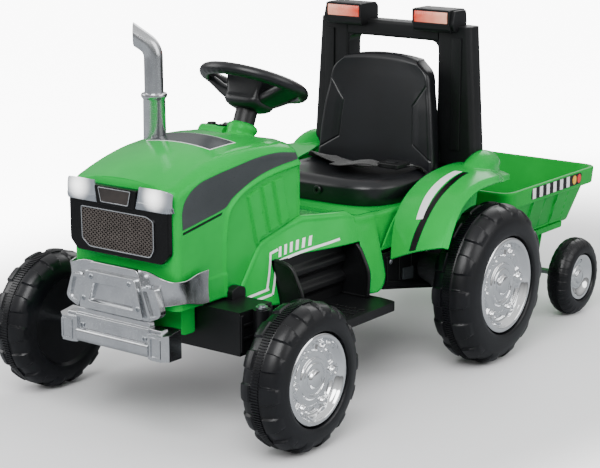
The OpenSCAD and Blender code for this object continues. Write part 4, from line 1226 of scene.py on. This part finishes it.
def makeBelt():
    # Webbing that lies across the back of the seat, droops over the cushion and is tucked at each side
    strap = strapRibbon([(-126, 596, 342), (-118, 590, 352), (-96, 578, 355), (-60, 570, 351),
                         (-20, 562, 349), (18, 553, 350), (44, 546, 353), (62, 545, 357)],
                        21, 1.4, (0.5, 0.1, 0.06, 0.12, 0.05))
    loop = strapRibbon([(126, 598, 342), (118, 594, 352), (104, 586, 357), (88, 574, 358), (76, 560, 357)],
                       20, 1.4,
                       (-0.5, -0.1, 0.0))
    tail = strapRibbon([(60, 540, 361), (38, 534, 364), (10, 532, 360), (-16, 534, 354.5), (-40, 538, 353)],
                       18, 1.4,
                       (0.0, 0.1, 0.05))
    makePiece("belt_webbing", joined(strap, loop, tail), webbing, "tractor", ("seat_belt",), sharp=50)
    shell = prism(arcRounded([(56, 536), (104, 534), (108, 578), (58, 574)], 7), 356.5, 366, 2)
    press = prism(arcRounded([(70, 544), (92, 543), (92, 560), (70, 560)], 4), 365, 367.6, 2)
    bar = tube([(54, 538, 359), (54, 555, 359), (54, 572, 359)], 2.6, 14)
    makePiece("belt_buckle_shell", joined(shell, bar), blackPp, "tractor", ("belt_buckle",), bevel=2,
              segments=3)
    makePiece("belt_buckle_press", press, seatPp, "tractor", bevel=0.8)


def makeRollBar():
    low, high = nodeBox("roll_bar")
    yFront, yBack = 668, 714
    # Each post is a rounded box whose width tapers upward; a beam joins them above the window and a
    # deep panel below it
    def post(side):
        z = np.array([350, 366, 420, 500, 560, 600, 618.0])
        outer = 192 - (z - 368) * 17 / 250
        inner = np.array([112, 112, 105, 105, 105, 105, 105.0])
        rows = []
        for level, a, b in zip(z, inner, outer):
            outline = arcRounded([(a, yFront), (b - 7, yFront), (b, yFront + 9), (b, yBack - 6), (a, yBack)],
                                 (6, 5, 5, 8, 6), 5)
            rows.append(np.stack([outline[:, 0] * side, outline[:, 1], np.full(len(outline), level)], -1))
        return surface(np.stack(rows), closeCols=True, caps=True)

    beam = prism(arcRounded([(yFront, 586), (yBack, 586), (yBack, 618), (yFront, 618)], 6), -106, 106, 0)
    panel = prism(arcRounded([(yFront + 2, 369), (yBack - 2, 369), (yBack - 2, 420), (yFront + 2, 420)], 7),
                  -114, 114, 0)
    # Round upper corners of the window
    arc = np.radians(np.linspace(0, 90, 9))
    fillet = prism(np.vstack([[(-107, 588)], np.stack([-90 - 15 * np.cos(arc), 571 + 15 * np.sin(arc)], -1)]),
                   yFront + 3, yBack - 3, 1)
    # Soft vertical flute on each post's face and a leg to the deck
    flutes = [prism(arcRounded([(138, yFront - 3), (160, yFront - 3), (158, yFront + 2), (140, yFront + 2)],
                               1.5), 380,
                    596, 2)]
    legs = [block((106, yFront + 4, low[2]), (140, yBack - 4, 372))]
    makePiece("roll_bar_frame", joined(post(1), post(-1), beam, panel), blackPp, "tractor", ("roll_bar",),
              bevel=1.5,
              segments=3, sharp=40)
    makePiece("roll_bar_trim", bothSides(joined(*flutes, *legs, fillet)), blackPp, "tractor",
              bevel=2,
              segments=3)
    # Lamp boxes: hexagonal end profile carried across
    profile = [(648, 612), (654, 606), (668, 606), (708, 617), (708, 642), (700, high[2]), (652, high[2]),
               (648, 645)]
    box = prism(arcRounded(profile, 3, 4), 60, 144, 0)
    hexEnd = prism(arcRounded([(648, 622), (656, 608), (684, 608), (700, 622), (696, 648), (656, 648)], 4,
                              4), 143, 151, 0)
    face = frameRing(arcRounded([(60, 620), (144, 620), (144, high[2] - 0.5), (60, high[2] - 0.5)], 3, 4),
                     4.5,
                     646.2, 650)
    makePiece("lamp_boxes", bothSides(joined(box, hexEnd)), blackPp, "tractor", bevel=1.5,
              segments=3)
    makePiece("lamp_surrounds", bothSides(face), blackPp, "tractor", bevel=1)
    u, v = np.meshgrid(np.linspace(0, 1, 120), np.linspace(0, 1, 20), indexing="ij")
    ribs = 0.5 * (0.5 + 0.5 * np.cos(u * 2 * np.pi * 18))
    y = 648.2 - 1.2 * np.sin(np.pi * v) - ribs
    grid = np.stack([65 + 74 * u, y, 624.5 + 20.5 * v], -1)
    makePiece("roof_lamp_lenses", bothSides(thickened(grid, -2)), redLens, "tractor", ("roof_lights",),
              sharp=40)


def makeWebbing():
    # Woven polypropylene webbing: ribs across the strap every 1.6 mm, with a fine warp along it
    material, tree, shader = newMaterial("woven_polypropylene_webbing", Roughness=0.75, Sheen_Weight=0.25,
                                         Sheen_Roughness=0.4)
    place = addNode(tree, "ShaderNodeTexCoord").outputs["Object"]
    weft = addNode(tree, "ShaderNodeTexWave", {"bands_direction": "X"}, {
        "Vector": place, "Scale": 1000 / 1.6 / 20 * 2 * math.pi / 2, "Distortion": 0.6, "Detail": 1.0})
    warp = addNode(tree, "ShaderNodeTexWave", {"bands_direction": "Y"}, {
        "Vector": place, "Scale": 1000 / 1.1 / 20 * 2 * math.pi / 2, "Distortion": 0.4})
    weave = addNode(tree, "ShaderNodeMath", {"operation": "MULTIPLY"}, {
        0: weft.outputs["Fac"], 1: warp.outputs["Fac"]})
    colour = addNode(tree, "ShaderNodeMixRGB", None, {
        "Fac": weave.outputs[0], "Color1": linearColour("#101011"), "Color2": linearColour("#1f1f21")})
    relief = addNode(tree, "ShaderNodeBump", None, {
        "Height": weave.outputs[0], "Strength": 0.6, "Distance": 0.0004})
    tree.links.new(colour.outputs["Color"], shader.inputs["Base Color"])
    tree.links.new(relief.outputs["Normal"], shader.inputs["Normal"])
    return material


def makeLensRed():
    # Tinted polycarbonate: pale pink at the inner end running to deep orange-red outward
    # The tint also feeds the emission, so the lens glows faintly: a painted glow
    material, tree, shader = newMaterial("tinted_polycarbonate_lens_painted_glow", IOR=1.58, Roughness=0.12,
                                         Coat_Weight=0.5,
                                         Coat_Roughness=0.05, Emission_Strength=0.25)
    place = addNode(tree, "ShaderNodeTexCoord").outputs["Object"]
    x = addNode(tree, "ShaderNodeSeparateXYZ", None, {"Vector": place}).outputs["X"]
    blotch = addNode(tree, "ShaderNodeTexNoise", None,
                     {"Vector": place, "Scale": 55.0, "Detail": 2.0}).outputs["Fac"]
    side = addNode(tree, "ShaderNodeMath", {"operation": "ABSOLUTE"}, {0: x})
    along = addNode(tree, "ShaderNodeMapRange", None, {
        "Value": side.outputs[0], "From Min": 0.063, "From Max": 0.14, "To Min": 1.0, "To Max": 0.0})
    mixed = addNode(tree, "ShaderNodeMath", {"operation": "MULTIPLY_ADD"}, {
        0: blotch, 1: 0.5, 2: addNode(tree, "ShaderNodeMath", {"operation": "SUBTRACT"}, {
            0: along.outputs["Result"], 1: 0.3}).outputs[0]})
    colour = addNode(tree, "ShaderNodeMixRGB", {"use_clamp": True}, {
        "Fac": mixed.outputs[0], "Color1": linearColour("#f7a98e"), "Color2": linearColour("#d8371f")})
    tree.links.new(colour.outputs["Color"], shader.inputs["Base Color"])
    tree.links.new(colour.outputs["Color"], shader.inputs["Emission Color"])
    return material


webbing = makeWebbing()
redLens = makeLensRed()
makeSeatCushion()
makeSeatBack()
makeSeatTrim()
makeBelt()
makeRollBar()
print("seat and roll bar made")

# ---- exhaust, dash and steering
columnAt, columnLean = (0, 203, 479), math.radians(24)
columnTurn = [(1, 0, 0), (0, math.cos(columnLean), math.sin(columnLean)),
              (0, -math.sin(columnLean), math.cos(columnLean))]
wheelLook = {"rim": 99, "tube": 11, "rimUp": 77, "hubTop": 86, "hubFoot": 26}
stackLook = {"at": (-80, 60), "foot": 474.5, "heading": 217, "bendZ": 607, "bendR": 32, "bend": 55,
             "mouth": 33.5,
             "pipe": 16.5, "lower": 19.6}


def onColumn(part):  # part drawn with the column as its Z axis, set in place
    return moved(part, columnAt, columnTurn)


def makeExhaust():
    # Rings up the pipe; past the bend they run on to one upright plane, which is the mouth
    look = stackLook
    angle = np.linspace(0, 2 * np.pi, 64, endpoint=False)

    def ring(turn, radius, run=0.0):
        out = look["bendR"] + radius * np.cos(angle)
        return np.stack([look["bendR"] - out * np.cos(turn) + run * np.sin(turn), -radius * np.sin(angle),
                         look["bendZ"] + out * np.sin(turn) + run * np.cos(turn)], -1)

    def mouth(radius, x):
        base = ring(math.radians(look["bend"]), radius)
        run = (x - base[:, 0]) / math.sin(math.radians(look["bend"]))
        rise = run * math.cos(math.radians(look["bend"]))
        return np.stack([np.full(64, float(x)), base[:, 1], base[:, 2] + rise], -1)

    turns = np.radians(np.linspace(0, look["bend"], 16))
    base = look["foot"] + 72 - look["bendZ"]
    outer = [ring(0, look["pipe"], base), *[ring(t, look["pipe"]) for t in turns],
             mouth(look["pipe"] + 0.3, look["mouth"] - 1.2), mouth(look["pipe"] - 0.6, look["mouth"])]
    inner = [mouth(look["pipe"] - 2.6, look["mouth"] - 0.6),
             *[ring(t, look["pipe"] - 3) for t in turns[:4:-1]]]
    pipe = surface(np.stack(outer + inner), closeCols=True, caps=True)
    foot = look["foot"]
    # lower pipe with its clamp ring at the top
    lower = turned([(foot - 26, look["lower"] + 0.4), (foot + 61, look["lower"] - 0.3), (foot + 63, 20.4),
                    (foot + 65, 22.4), (foot + 68.5, 22.8), (foot + 71, 22), (foot + 72, 19.5),
                    (foot + 72.4, 15)], (0, 0, 0), (0, 0, 1), 72, caps=True)
    c, s = math.cos(math.radians(look["heading"])), math.sin(math.radians(look["heading"]))
    part = moved(joined(pipe, lower), (*look["at"], 0), [(c, -s, 0), (s, c, 0), (0, 0, 1)])
    makePiece("exhaust_pipe", part, silverPaint, "tractor", ("exhaust_stack",), sharp=40)


def makeDash():
    outline = arcRounded([(160, 455), (216, 451), (218, 463), (208, 473), (174, 478)], (2, 2, 5, 7, 8), 6)
    makePiece("dash_moulding", prism(outline, -75.5, -21, 0), greenAbs, "tractor", ("dash_panel",),
              bevel=3, segments=3)
    cap = turned([(472.5, 8.6), (477.5, 8.6), (479.2, 7.4), (479.6, 5)], (-62, 191, 0), (0, 0, 1), 48,
                 caps=True)
    makePiece("power_button_cap", cap, blackAbs, "power_button", ("power_button",), sharp=50)
    rocker = prism([(178.5, 473.2), (203.5, 473.2), (203.5, 480.4), (191, 477.2), (178.5, 480.4)], -41.6,
                   -25.4, 0)
    makePiece("direction_rocker", rocker, blackAbs, "direction_switch", ("direction_switch",), bevel=1,
              segments=3)
    ticks = [prism([(-36.5, y), (-30.5, y), (-33.5, y + lean)], 479.2, 480.6, 2)
             for y, lean in ((183, -3.4), (199, 3.4))]
    makePiece("direction_rocker_arrows", joined(*ticks), whiteFilm, "direction_switch")


def makeCollar():
    # Rings from the hood up to the tilted lip: centre, radius and tilt blend together, and the ring bulges
    t = np.linspace(0, 1, 26)
    angle = np.linspace(0, 2 * np.pi, 88, endpoint=False)
    up = -23 + 25 * t
    lean = columnLean * smoothStep(t, -0.2, 0.7)
    radius = 24 + 11 * (1 - smoothStep(t, 0, 0.45)) ** 1.5
    radius += 3.6 * np.sin(np.pi * np.clip((t - 0.25) / 0.75, 0, 1)) - 5.5 * smoothStep(t, 0.86, 1.0)
    centre = np.array([(0, 203 + h * math.sin(columnLean) - 4 * (1 - smoothStep(k, 0, 0.7)),
                        479 + h * math.cos(columnLean)) for h, k in zip(up, t)])
    ring = np.stack([radius[:, None] * np.cos(angle), radius[:, None] * np.sin(angle) * np.cos(lean)[:, None],
                     -radius[:, None] * np.sin(angle) * np.sin(lean)[:, None]], -1)
    grid = centre[:, None] + ring
    lip = onColumn(turned([(1.6, 21.4), (1.6, 20), (-14, 20)], (0, 0, 0), (0, 0, 1), 88))
    makePiece("column_collar_moulding", joined(surface(grid, closeCols=True), lip), greenAbs, "tractor",
              ("column_collar",), sharp=45, wall=1.2)
    tubeBody = onColumn(turned([(-6, 19.6), (37.5, 19.4), (39.4, 18.4), (39.6, 8)], (0, 0, 0), (0, 0, 1), 72,
                               caps=True))
    makePiece("column_sleeve", tubeBody, blackPp, "tractor", ("column_tube",), sharp=50)


def makeSteeringWheel():
    look = wheelLook
    angle = np.linspace(0, 2 * np.pi, 160, endpoint=False)
    turn = np.linspace(0, 2 * np.pi, 32, endpoint=False)
    mid = look["rim"] - look["tube"]
    # finger grooves on the rim's underside, forty round
    groove = 0.7 * (0.5 + 0.5 * np.cos(40 * angle))[:, None] * smoothStep(-np.sin(turn), 0.2, 0.8)
    r = mid + (look["tube"] - groove) * np.cos(turn)
    grid = np.stack([r * np.cos(angle)[:, None], r * np.sin(angle)[:, None],
                     look["rimUp"] + (look["tube"] - groove) * np.sin(turn) + 0 * angle[:, None]], -1)
    rim = onColumn(surface(grid, closeRows=True, closeCols=True))
    top = look["hubTop"]
    # Hub: rounded rectangles that widen from the sleeve to a bowl and on up to the flat face
    rings = [(look["hubFoot"], 22, 20, 15), (look["hubFoot"] + 3, 30, 27, 20), (33, 36, 31, 22),
             (39, 39, 33, 20),
             (45, 38, 31, 15), (52, 35, 29, 9), (66, 38, 31, 9), (top - 3, 41, 33, 8), (top, 38, 30, 7)]
    grid = np.stack([np.column_stack([arcRounded([(-w, -d), (w, -d), (w, d), (-w, d)], soft, 9),
                                      np.full(36, level)])
                     for level, w, d, soft in rings])
    hub = onColumn(surface(grid, closeCols=True, caps=True))
    # Spoke over (s, turn): its section grows deeper toward the hub while the top edge falls away slowly
    s = np.linspace(0, 1, 24)
    level = np.linspace(0, 2 * np.pi, 32, endpoint=False)
    square = 0.5
    spokes = []
    for heading in (0, np.pi / 2, np.pi):
        upper = look["rimUp"] + 3 - 17 * smoothStep(s, 0.05, 0.9)
        foot = look["rimUp"] - 6 - 34 * smoothStep(s, -0.3, 1)
        half = 26 - 5 * smoothStep(s, 0, 0.9)
        reach = (mid + 2) + (24 - mid) * s
        across = half[:, None] * np.sign(np.cos(level)) * np.abs(np.cos(level)) ** square
        swing = np.sign(np.sin(level)) * np.abs(np.sin(level)) ** square
        high = (upper + foot)[:, None] / 2 + (upper - foot)[:, None] / 2 * swing
        # hollow on top between the two edges
        hollow = bump(across / half[:, None], 0, 0.5, 0.3) * np.sin(np.pi * s)[:, None]
        high = high - 7 * smoothStep(np.sin(level), 0.2, 0.9) * hollow
        c, k = math.cos(heading), math.sin(heading)
        grid = np.stack([reach[:, None] * c - across * k, reach[:, None] * k + across * c, high], -1)
        spokes.append(onColumn(surface(grid, closeCols=True, caps=True)))
    seats = [onColumn(turned([(top - 0.6, 13), (top + 1.6, 12.4), (top + 2.2, 11), (top + 2, 9.6),
                              (top - 0.5, 9.4)],
                             (x, 0, 0), (0, 0, 1), 48)) for x in (-16, 16)]
    makePiece("steering_rim", rim, seatPp, "steering", ("steering_wheel",), sharp=60)
    makePiece("steering_hub", joined(hub, *seats), seatPp, "steering", sharp=50)
    makePiece("steering_spokes", joined(*spokes), seatPp, "steering", sharp=50)
    for x, body, tint in ((16, "horn_button", yellowFilm), (-16, "music_button", blueAbs)):
        cap = onColumn(turned([(top - 1, 8.6), (top + 5, 8.6), (top + 6.4, 7.4), (top + 6.8, 5)], (x, 0, 0),
                              (0, 0, 1),
                              48, caps=True))
        makePiece(body + "_cap", cap, tint, body, (body,), sharp=50)


blueAbs = finish("blue_ABS_button", {
    "low": "#2b62a8", "high": "#3772bb", "cloudMm": 20, "grainMm": 1.5, "grainDeep": 0.02, "rough": 0.3,
    "roughVary": 0.04}, IOR=1.54)
makeExhaust()
makeDash()
makeCollar()
makeSteeringWheel()
print("controls made")

# ---- trailer: tub, its side film and the drawbar
tubLow, tubHigh = nodeBox("trailer_tub")
tubLook = {
    "band": 35, "flare": 2.5, "floorZ": 154, "floorHalf": 150, "floorY": (862, 1150), "shoulderHalf": 172,
    "shoulderY": (834, 1176), "corner": 34, "panelY": ((939, 992), (1043, 1093)), "panelHigh": 3.2,
    "skirtY": (958, 1096), "skirtZ": 163,
}


def between(x, ends, soft):  # 1 between the two ends and 0 beyond them, with soft edges
    low, high = ends
    return smoothStep(x, low - soft, low + soft) * (1 - smoothStep(x, high - soft, high + soft))


def tubWalk(half, front, rear, corner):
    outline = arcRounded([(half, front), (half, rear), (-half, rear), (-half, front)], corner, 14)
    # points spread along each straight so the ribs can be drawn on them
    closed = np.vstack([outline, outline[:1]])
    return np.vstack([np.linspace(a, b, max(2, int(np.linalg.norm(b - a) / 3.2)), endpoint=False)
                      for a, b in zip(closed[:-1], closed[1:])])


def makeTub():
    # Every ring shares one walk round the rounded rectangle, so the walk is made once on the rim and the
    # other rings scale it: straight sides stay straight and the corners keep their roundness
    look = tubLook
    half, front, rear = tubHigh[0], tubLow[1], tubHigh[1]
    walk = tubWalk(half, front, rear, look["corner"])
    mid = (front + rear) / 2
    unit = np.stack([walk[:, 0] / half, (walk[:, 1] - mid) / ((rear - front) / 2)], -1)

    def ring(w, y0, y1, z):
        plan = np.stack([unit[:, 0] * w, (y0 + y1) / 2 + unit[:, 1] * (y1 - y0) / 2], -1)
        return np.column_stack([plan, np.full(len(plan), float(z))])

    top, band = tubHigh[2], look["band"]
    s0, s1 = look["shoulderY"]
    f0, f1 = look["floorY"]
    rows = [ring(half - look["flare"] - 1, front + 3, rear - 3, top - band),
            ring(half - look["flare"], front + 2, rear - 2, top - band + 1)]
    rows += [ring(half - look["flare"] * (1 - t), front + 2 * (1 - t), rear - 2 * (1 - t),
                  top - band + (band - 4) * t)
             for t in np.linspace(0.15, 1, 8)]
    rows += [ring(half - 0.5, front + 0.5, rear - 0.5, top - 1.6),
             ring(half - 1.8, front + 1.8, rear - 1.8, top - 0.3),
             ring(half - 3.5, front + 3.5, rear - 3.5, top), ring(half - 6, front + 6, rear - 6, top),
             ring(half - 7.6, front + 7.6, rear - 7.6, top - 0.5),
             ring(half - 8.8, front + 9, rear - 9, top - 2.4)]
    rows += [ring(half - 9 - 26 * t, front + 9 + 44 * t, rear - 9 - 40 * t, top - 3 - (top - 3 - 166) * t)
             for t in np.linspace(0.02, 1, 18)]
    rows += [ring(half - 36.5, front + 54.5, rear - 50.5, 161.5), ring(half - 40, front + 58, rear - 54, 159)]
    inside = rows[::-1]
    shoulder = [ring(look["shoulderHalf"] + 4, s0 - 6, s1 + 6, top - band + 0.2),
                ring(look["shoulderHalf"], s0, s1, top - band - 0.6)]
    t = np.linspace(0.02, 1, 40)
    body = [ring(look["shoulderHalf"] + (look["floorHalf"] - look["shoulderHalf"]) * k, s0 + (f0 - s0) * k,
                 s1 + (f1 - s1) * k, top - band - 0.6 + (look["floorZ"] + 6 - (top - band - 0.6)) * k)
                 for k in t]
    foot = [ring(look["floorHalf"] - 2, f0 + 2, f1 - 2, look["floorZ"] + 2),
            ring(look["floorHalf"] - 6, f0 + 6, f1 - 6, look["floorZ"])]
    grid = np.stack(inside + shoulder + body + foot)
    # Raised panels between the ribs on both long sides, with a rib at each edge, and the skirt's ledge
    first = len(inside) + 2
    side = grid[first:first + len(body)]
    y, z = side[..., 1], side[..., 2]
    onSide = smoothStep(np.abs(side[..., 0]) / (np.abs(side[..., 0]).max(1)[:, None]), 0.985, 0.999)
    raised = sum(between(y, ends, 1.2) for ends in look["panelY"])
    ribs = sum(bump(y, edge, 0.8, 1.4) for pair in look["panelY"] for edge in pair)
    skirt = between(y, look["skirtY"], 2)
    panelBand = smoothStep(z, 163, 165) * (1 - smoothStep(z, 233, 236))
    out = (look["panelHigh"] * raised + 1.4 * ribs) * panelBand
    out = out + skirt * (3.6 * bump(z, look["skirtZ"], 1.4, 2) + 2 * (1 - smoothStep(z, 160, 162)))
    side[..., 0] += np.sign(side[..., 0]) * out * onSide
    makePiece("tub_moulding", surface(grid, closeCols=True, caps=True), greenPp, "trailer", ("trailer_tub",),
              sharp=38)
    leg = prism(arcRounded([(925, 157), (1030, 157), (1003, 66), (994, 64), (956, 64), (947, 66)],
                           (2, 2, 4, 3, 3, 4)), 140,
                149, 0)
    web = [prism([(y0, 155), (y0 + 4, 155), (y1 + 4, 72), (y1, 72)], 148, 152, 0)
           for y0, y1 in ((932, 953), (1019, 995))]
    under = prism(arcRounded([(966, 147.8), (1094, 147.8), (1097, 160), (962, 160)], 2), 146, 157, 0)
    makePiece("tub_legs", bothSides(joined(leg, *web, under)), greenPp, "trailer",
              bevel=1)


def makeTubFilms():
    # Flat films on the rim band, which leans out by its flare; each outline is (y, z)
    look = tubLook

    def film(outline, proud):
        outline = np.array(outline, float)
        lean = (outline[:, 1] - (tubHigh[2] - look["band"])) / (look["band"] - 4)
        x = tubHigh[0] - look["flare"] * (1 - np.clip(lean, 0, 1))
        rows = [np.column_stack([x + level, outline]) for level in (-0.6, proud)]
        return surface(np.stack(rows), closeCols=True, caps=True)

    ground = film(arcRounded([(906, 243), (1120, 243), (1120, 267.5), (906, 267.5)], 9, 8), 0.5)
    bars = [film([(913 + 28.6 * k, 243.8), (926 + 28.6 * k, 243.8), (922.5 + 28.6 * k, 266.7),
                  (909.5 + 28.6 * k, 266.7)], 0.8)
            for k in range(6)]
    angle = np.linspace(0, 2 * np.pi, 40, endpoint=False)

    def oval(y, z):
        return film(np.stack([y + 8 * np.cos(angle) - 1.2 * np.sin(angle), z + 10 * np.sin(angle)], -1), 1.0)

    makePiece("side_strip_film", bothSides(ground), blackFilm, "trailer", bevel=0.25)
    makePiece("side_strip_bars", bothSides(joined(*bars)), whiteFilm, "trailer",
              bevel=0.15)
    makePiece("side_strip_amber", bothSides(oval(1089, 255.2)), yellowFilm, "trailer",
              bevel=0.2)
    makePiece("side_strip_red", bothSides(oval(1109.5, 255.2)), redFilm, "trailer",
              bevel=0.2)


def makeDrawbar():
    eye = turned([(168.5, 6.2), (168.5, 15), (170, 17), (181, 17), (182.3, 15.6), (182.3, 6.2)], (0, 760, 0),
                 (0, 0, 1),
                 56)
    bar = prism(arcRounded([(-14, 772), (14, 772), (14, 848), (-14, 848)], 3), 169, 182, 2)
    drop = block((-14, 836, 146), (14, 848, 181))
    plate = prism(arcRounded([(-40, 836), (40, 836), (40, 1000), (-40, 1000)], 8), 143.5, 153.3, 2)
    ribs = [block((-14 + 25 * k, 790, 181.5), (-11 + 25 * k, 844, 184.5)) for k in range(2)]
    makePiece("drawbar_bar", joined(bar, drop, plate, *ribs), blackPp, "trailer", ("drawbar",), bevel=1.6,
              segments=3)
    makePiece("drawbar_eye", eye, blackPp, "trailer", sharp=50)


makeTub()
makeTubFilms()
makeDrawbar()
print("trailer made")

# ---- chassis and running gear: these keep their CAD meshes, with small mouldings added round them
def makeChassisTrim():
    # The moulded undertray shows between the wheels: ribbed axle housing, drive box and a cable guard
    ribs = [block((-190.5, -40, z), (190.5, 40, z + 5)) for z in (176, 198)]
    ends = [block((186, y, 156), (191, y + 6, 219)) for y in (-41, -3, 35)]
    box = prism([(404, 170), (500, 150), (556, 138), (556, 146), (500, 158), (404, 178)], 168, 173, 0)
    boxTop = prism([(404, 216), (540, 216), (540, 224), (404, 224)], 168, 173, 0)
    posts = [prism([(y, 172), (y + 7, 171), (y + 7, 218), (y, 218)], 168, 172.5, 0) for y in (406, 446, 486)]
    guard = prism(arcRounded([(9, 214), (45, 214), (45, 240), (28, 246), (9, 240)], 6), 116, 131, 0)
    makePiece("undertray_mouldings", joined(*ribs, bothSides(joined(*ends, box, boxTop, *posts, guard))),
              blackPp,
              "tractor", bevel=1.2, segments=3)
    label = prism(arcRounded([(458, 170), (492, 166), (492, 190), (458, 192)], 3), 170, 173.4, 0)
    makePiece("rating_label_blank", label, smokeFilm, "tractor", bevel=0.4)
    screws = [screwHead((170.4, y, z), (1, 0, 0), 5, 2.4) for y, z in ((420, 212), (538, 205))]
    makePiece("undertray_screws", bothSides(joined(*screws)), zincSteel, "tractor", wall=0.8)


gearNylon = finish("ribbed_nylon_gear_housing", {
    "low": "#1d1e21", "high": "#26282b", "cloudMm": 40, "grainMm": 1.2, "grainDeep": 0.06, "rough": 0.5,
    "roughVary": 0.06}, IOR=1.53)
batteryCase = finish("moulded_battery_case", {
    "low": "#2b2d31", "high": "#34373b", "cloudMm": 50, "grainMm": 1.4, "grainDeep": 0.04, "rough": 0.45,
    "roughVary": 0.06}, IOR=1.5)
controlCase = finish("flame_retardant_ABS_case", {
    "low": "#33363a", "high": "#3d4045", "cloudMm": 40, "grainMm": 1.0, "grainDeep": 0.05, "rough": 0.55,
    "roughVary": 0.05}, IOR=1.54)
keptNodes = {
    "chassis": blackPp, "steering_shaft": zincSteel, "tie_rod": zincSteel, "knuckle_left": zincSteel,
    "knuckle_right": zincSteel, "rear_axle": zincSteel, "gearboxes": gearNylon, "motors": zincSteel,
    "battery": batteryCase, "control_box": controlCase, "charge_socket": blackPp, "hitch_bracket": zincSteel,
    "hitch_pin": zincSteel, "trailer_axle": zincSteel,
}
for node, material in keptNodes.items():
    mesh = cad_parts[node].data
    mesh.materials.clear()
    mesh.materials.append(material)
makeChassisTrim()
print("metal parts finished")
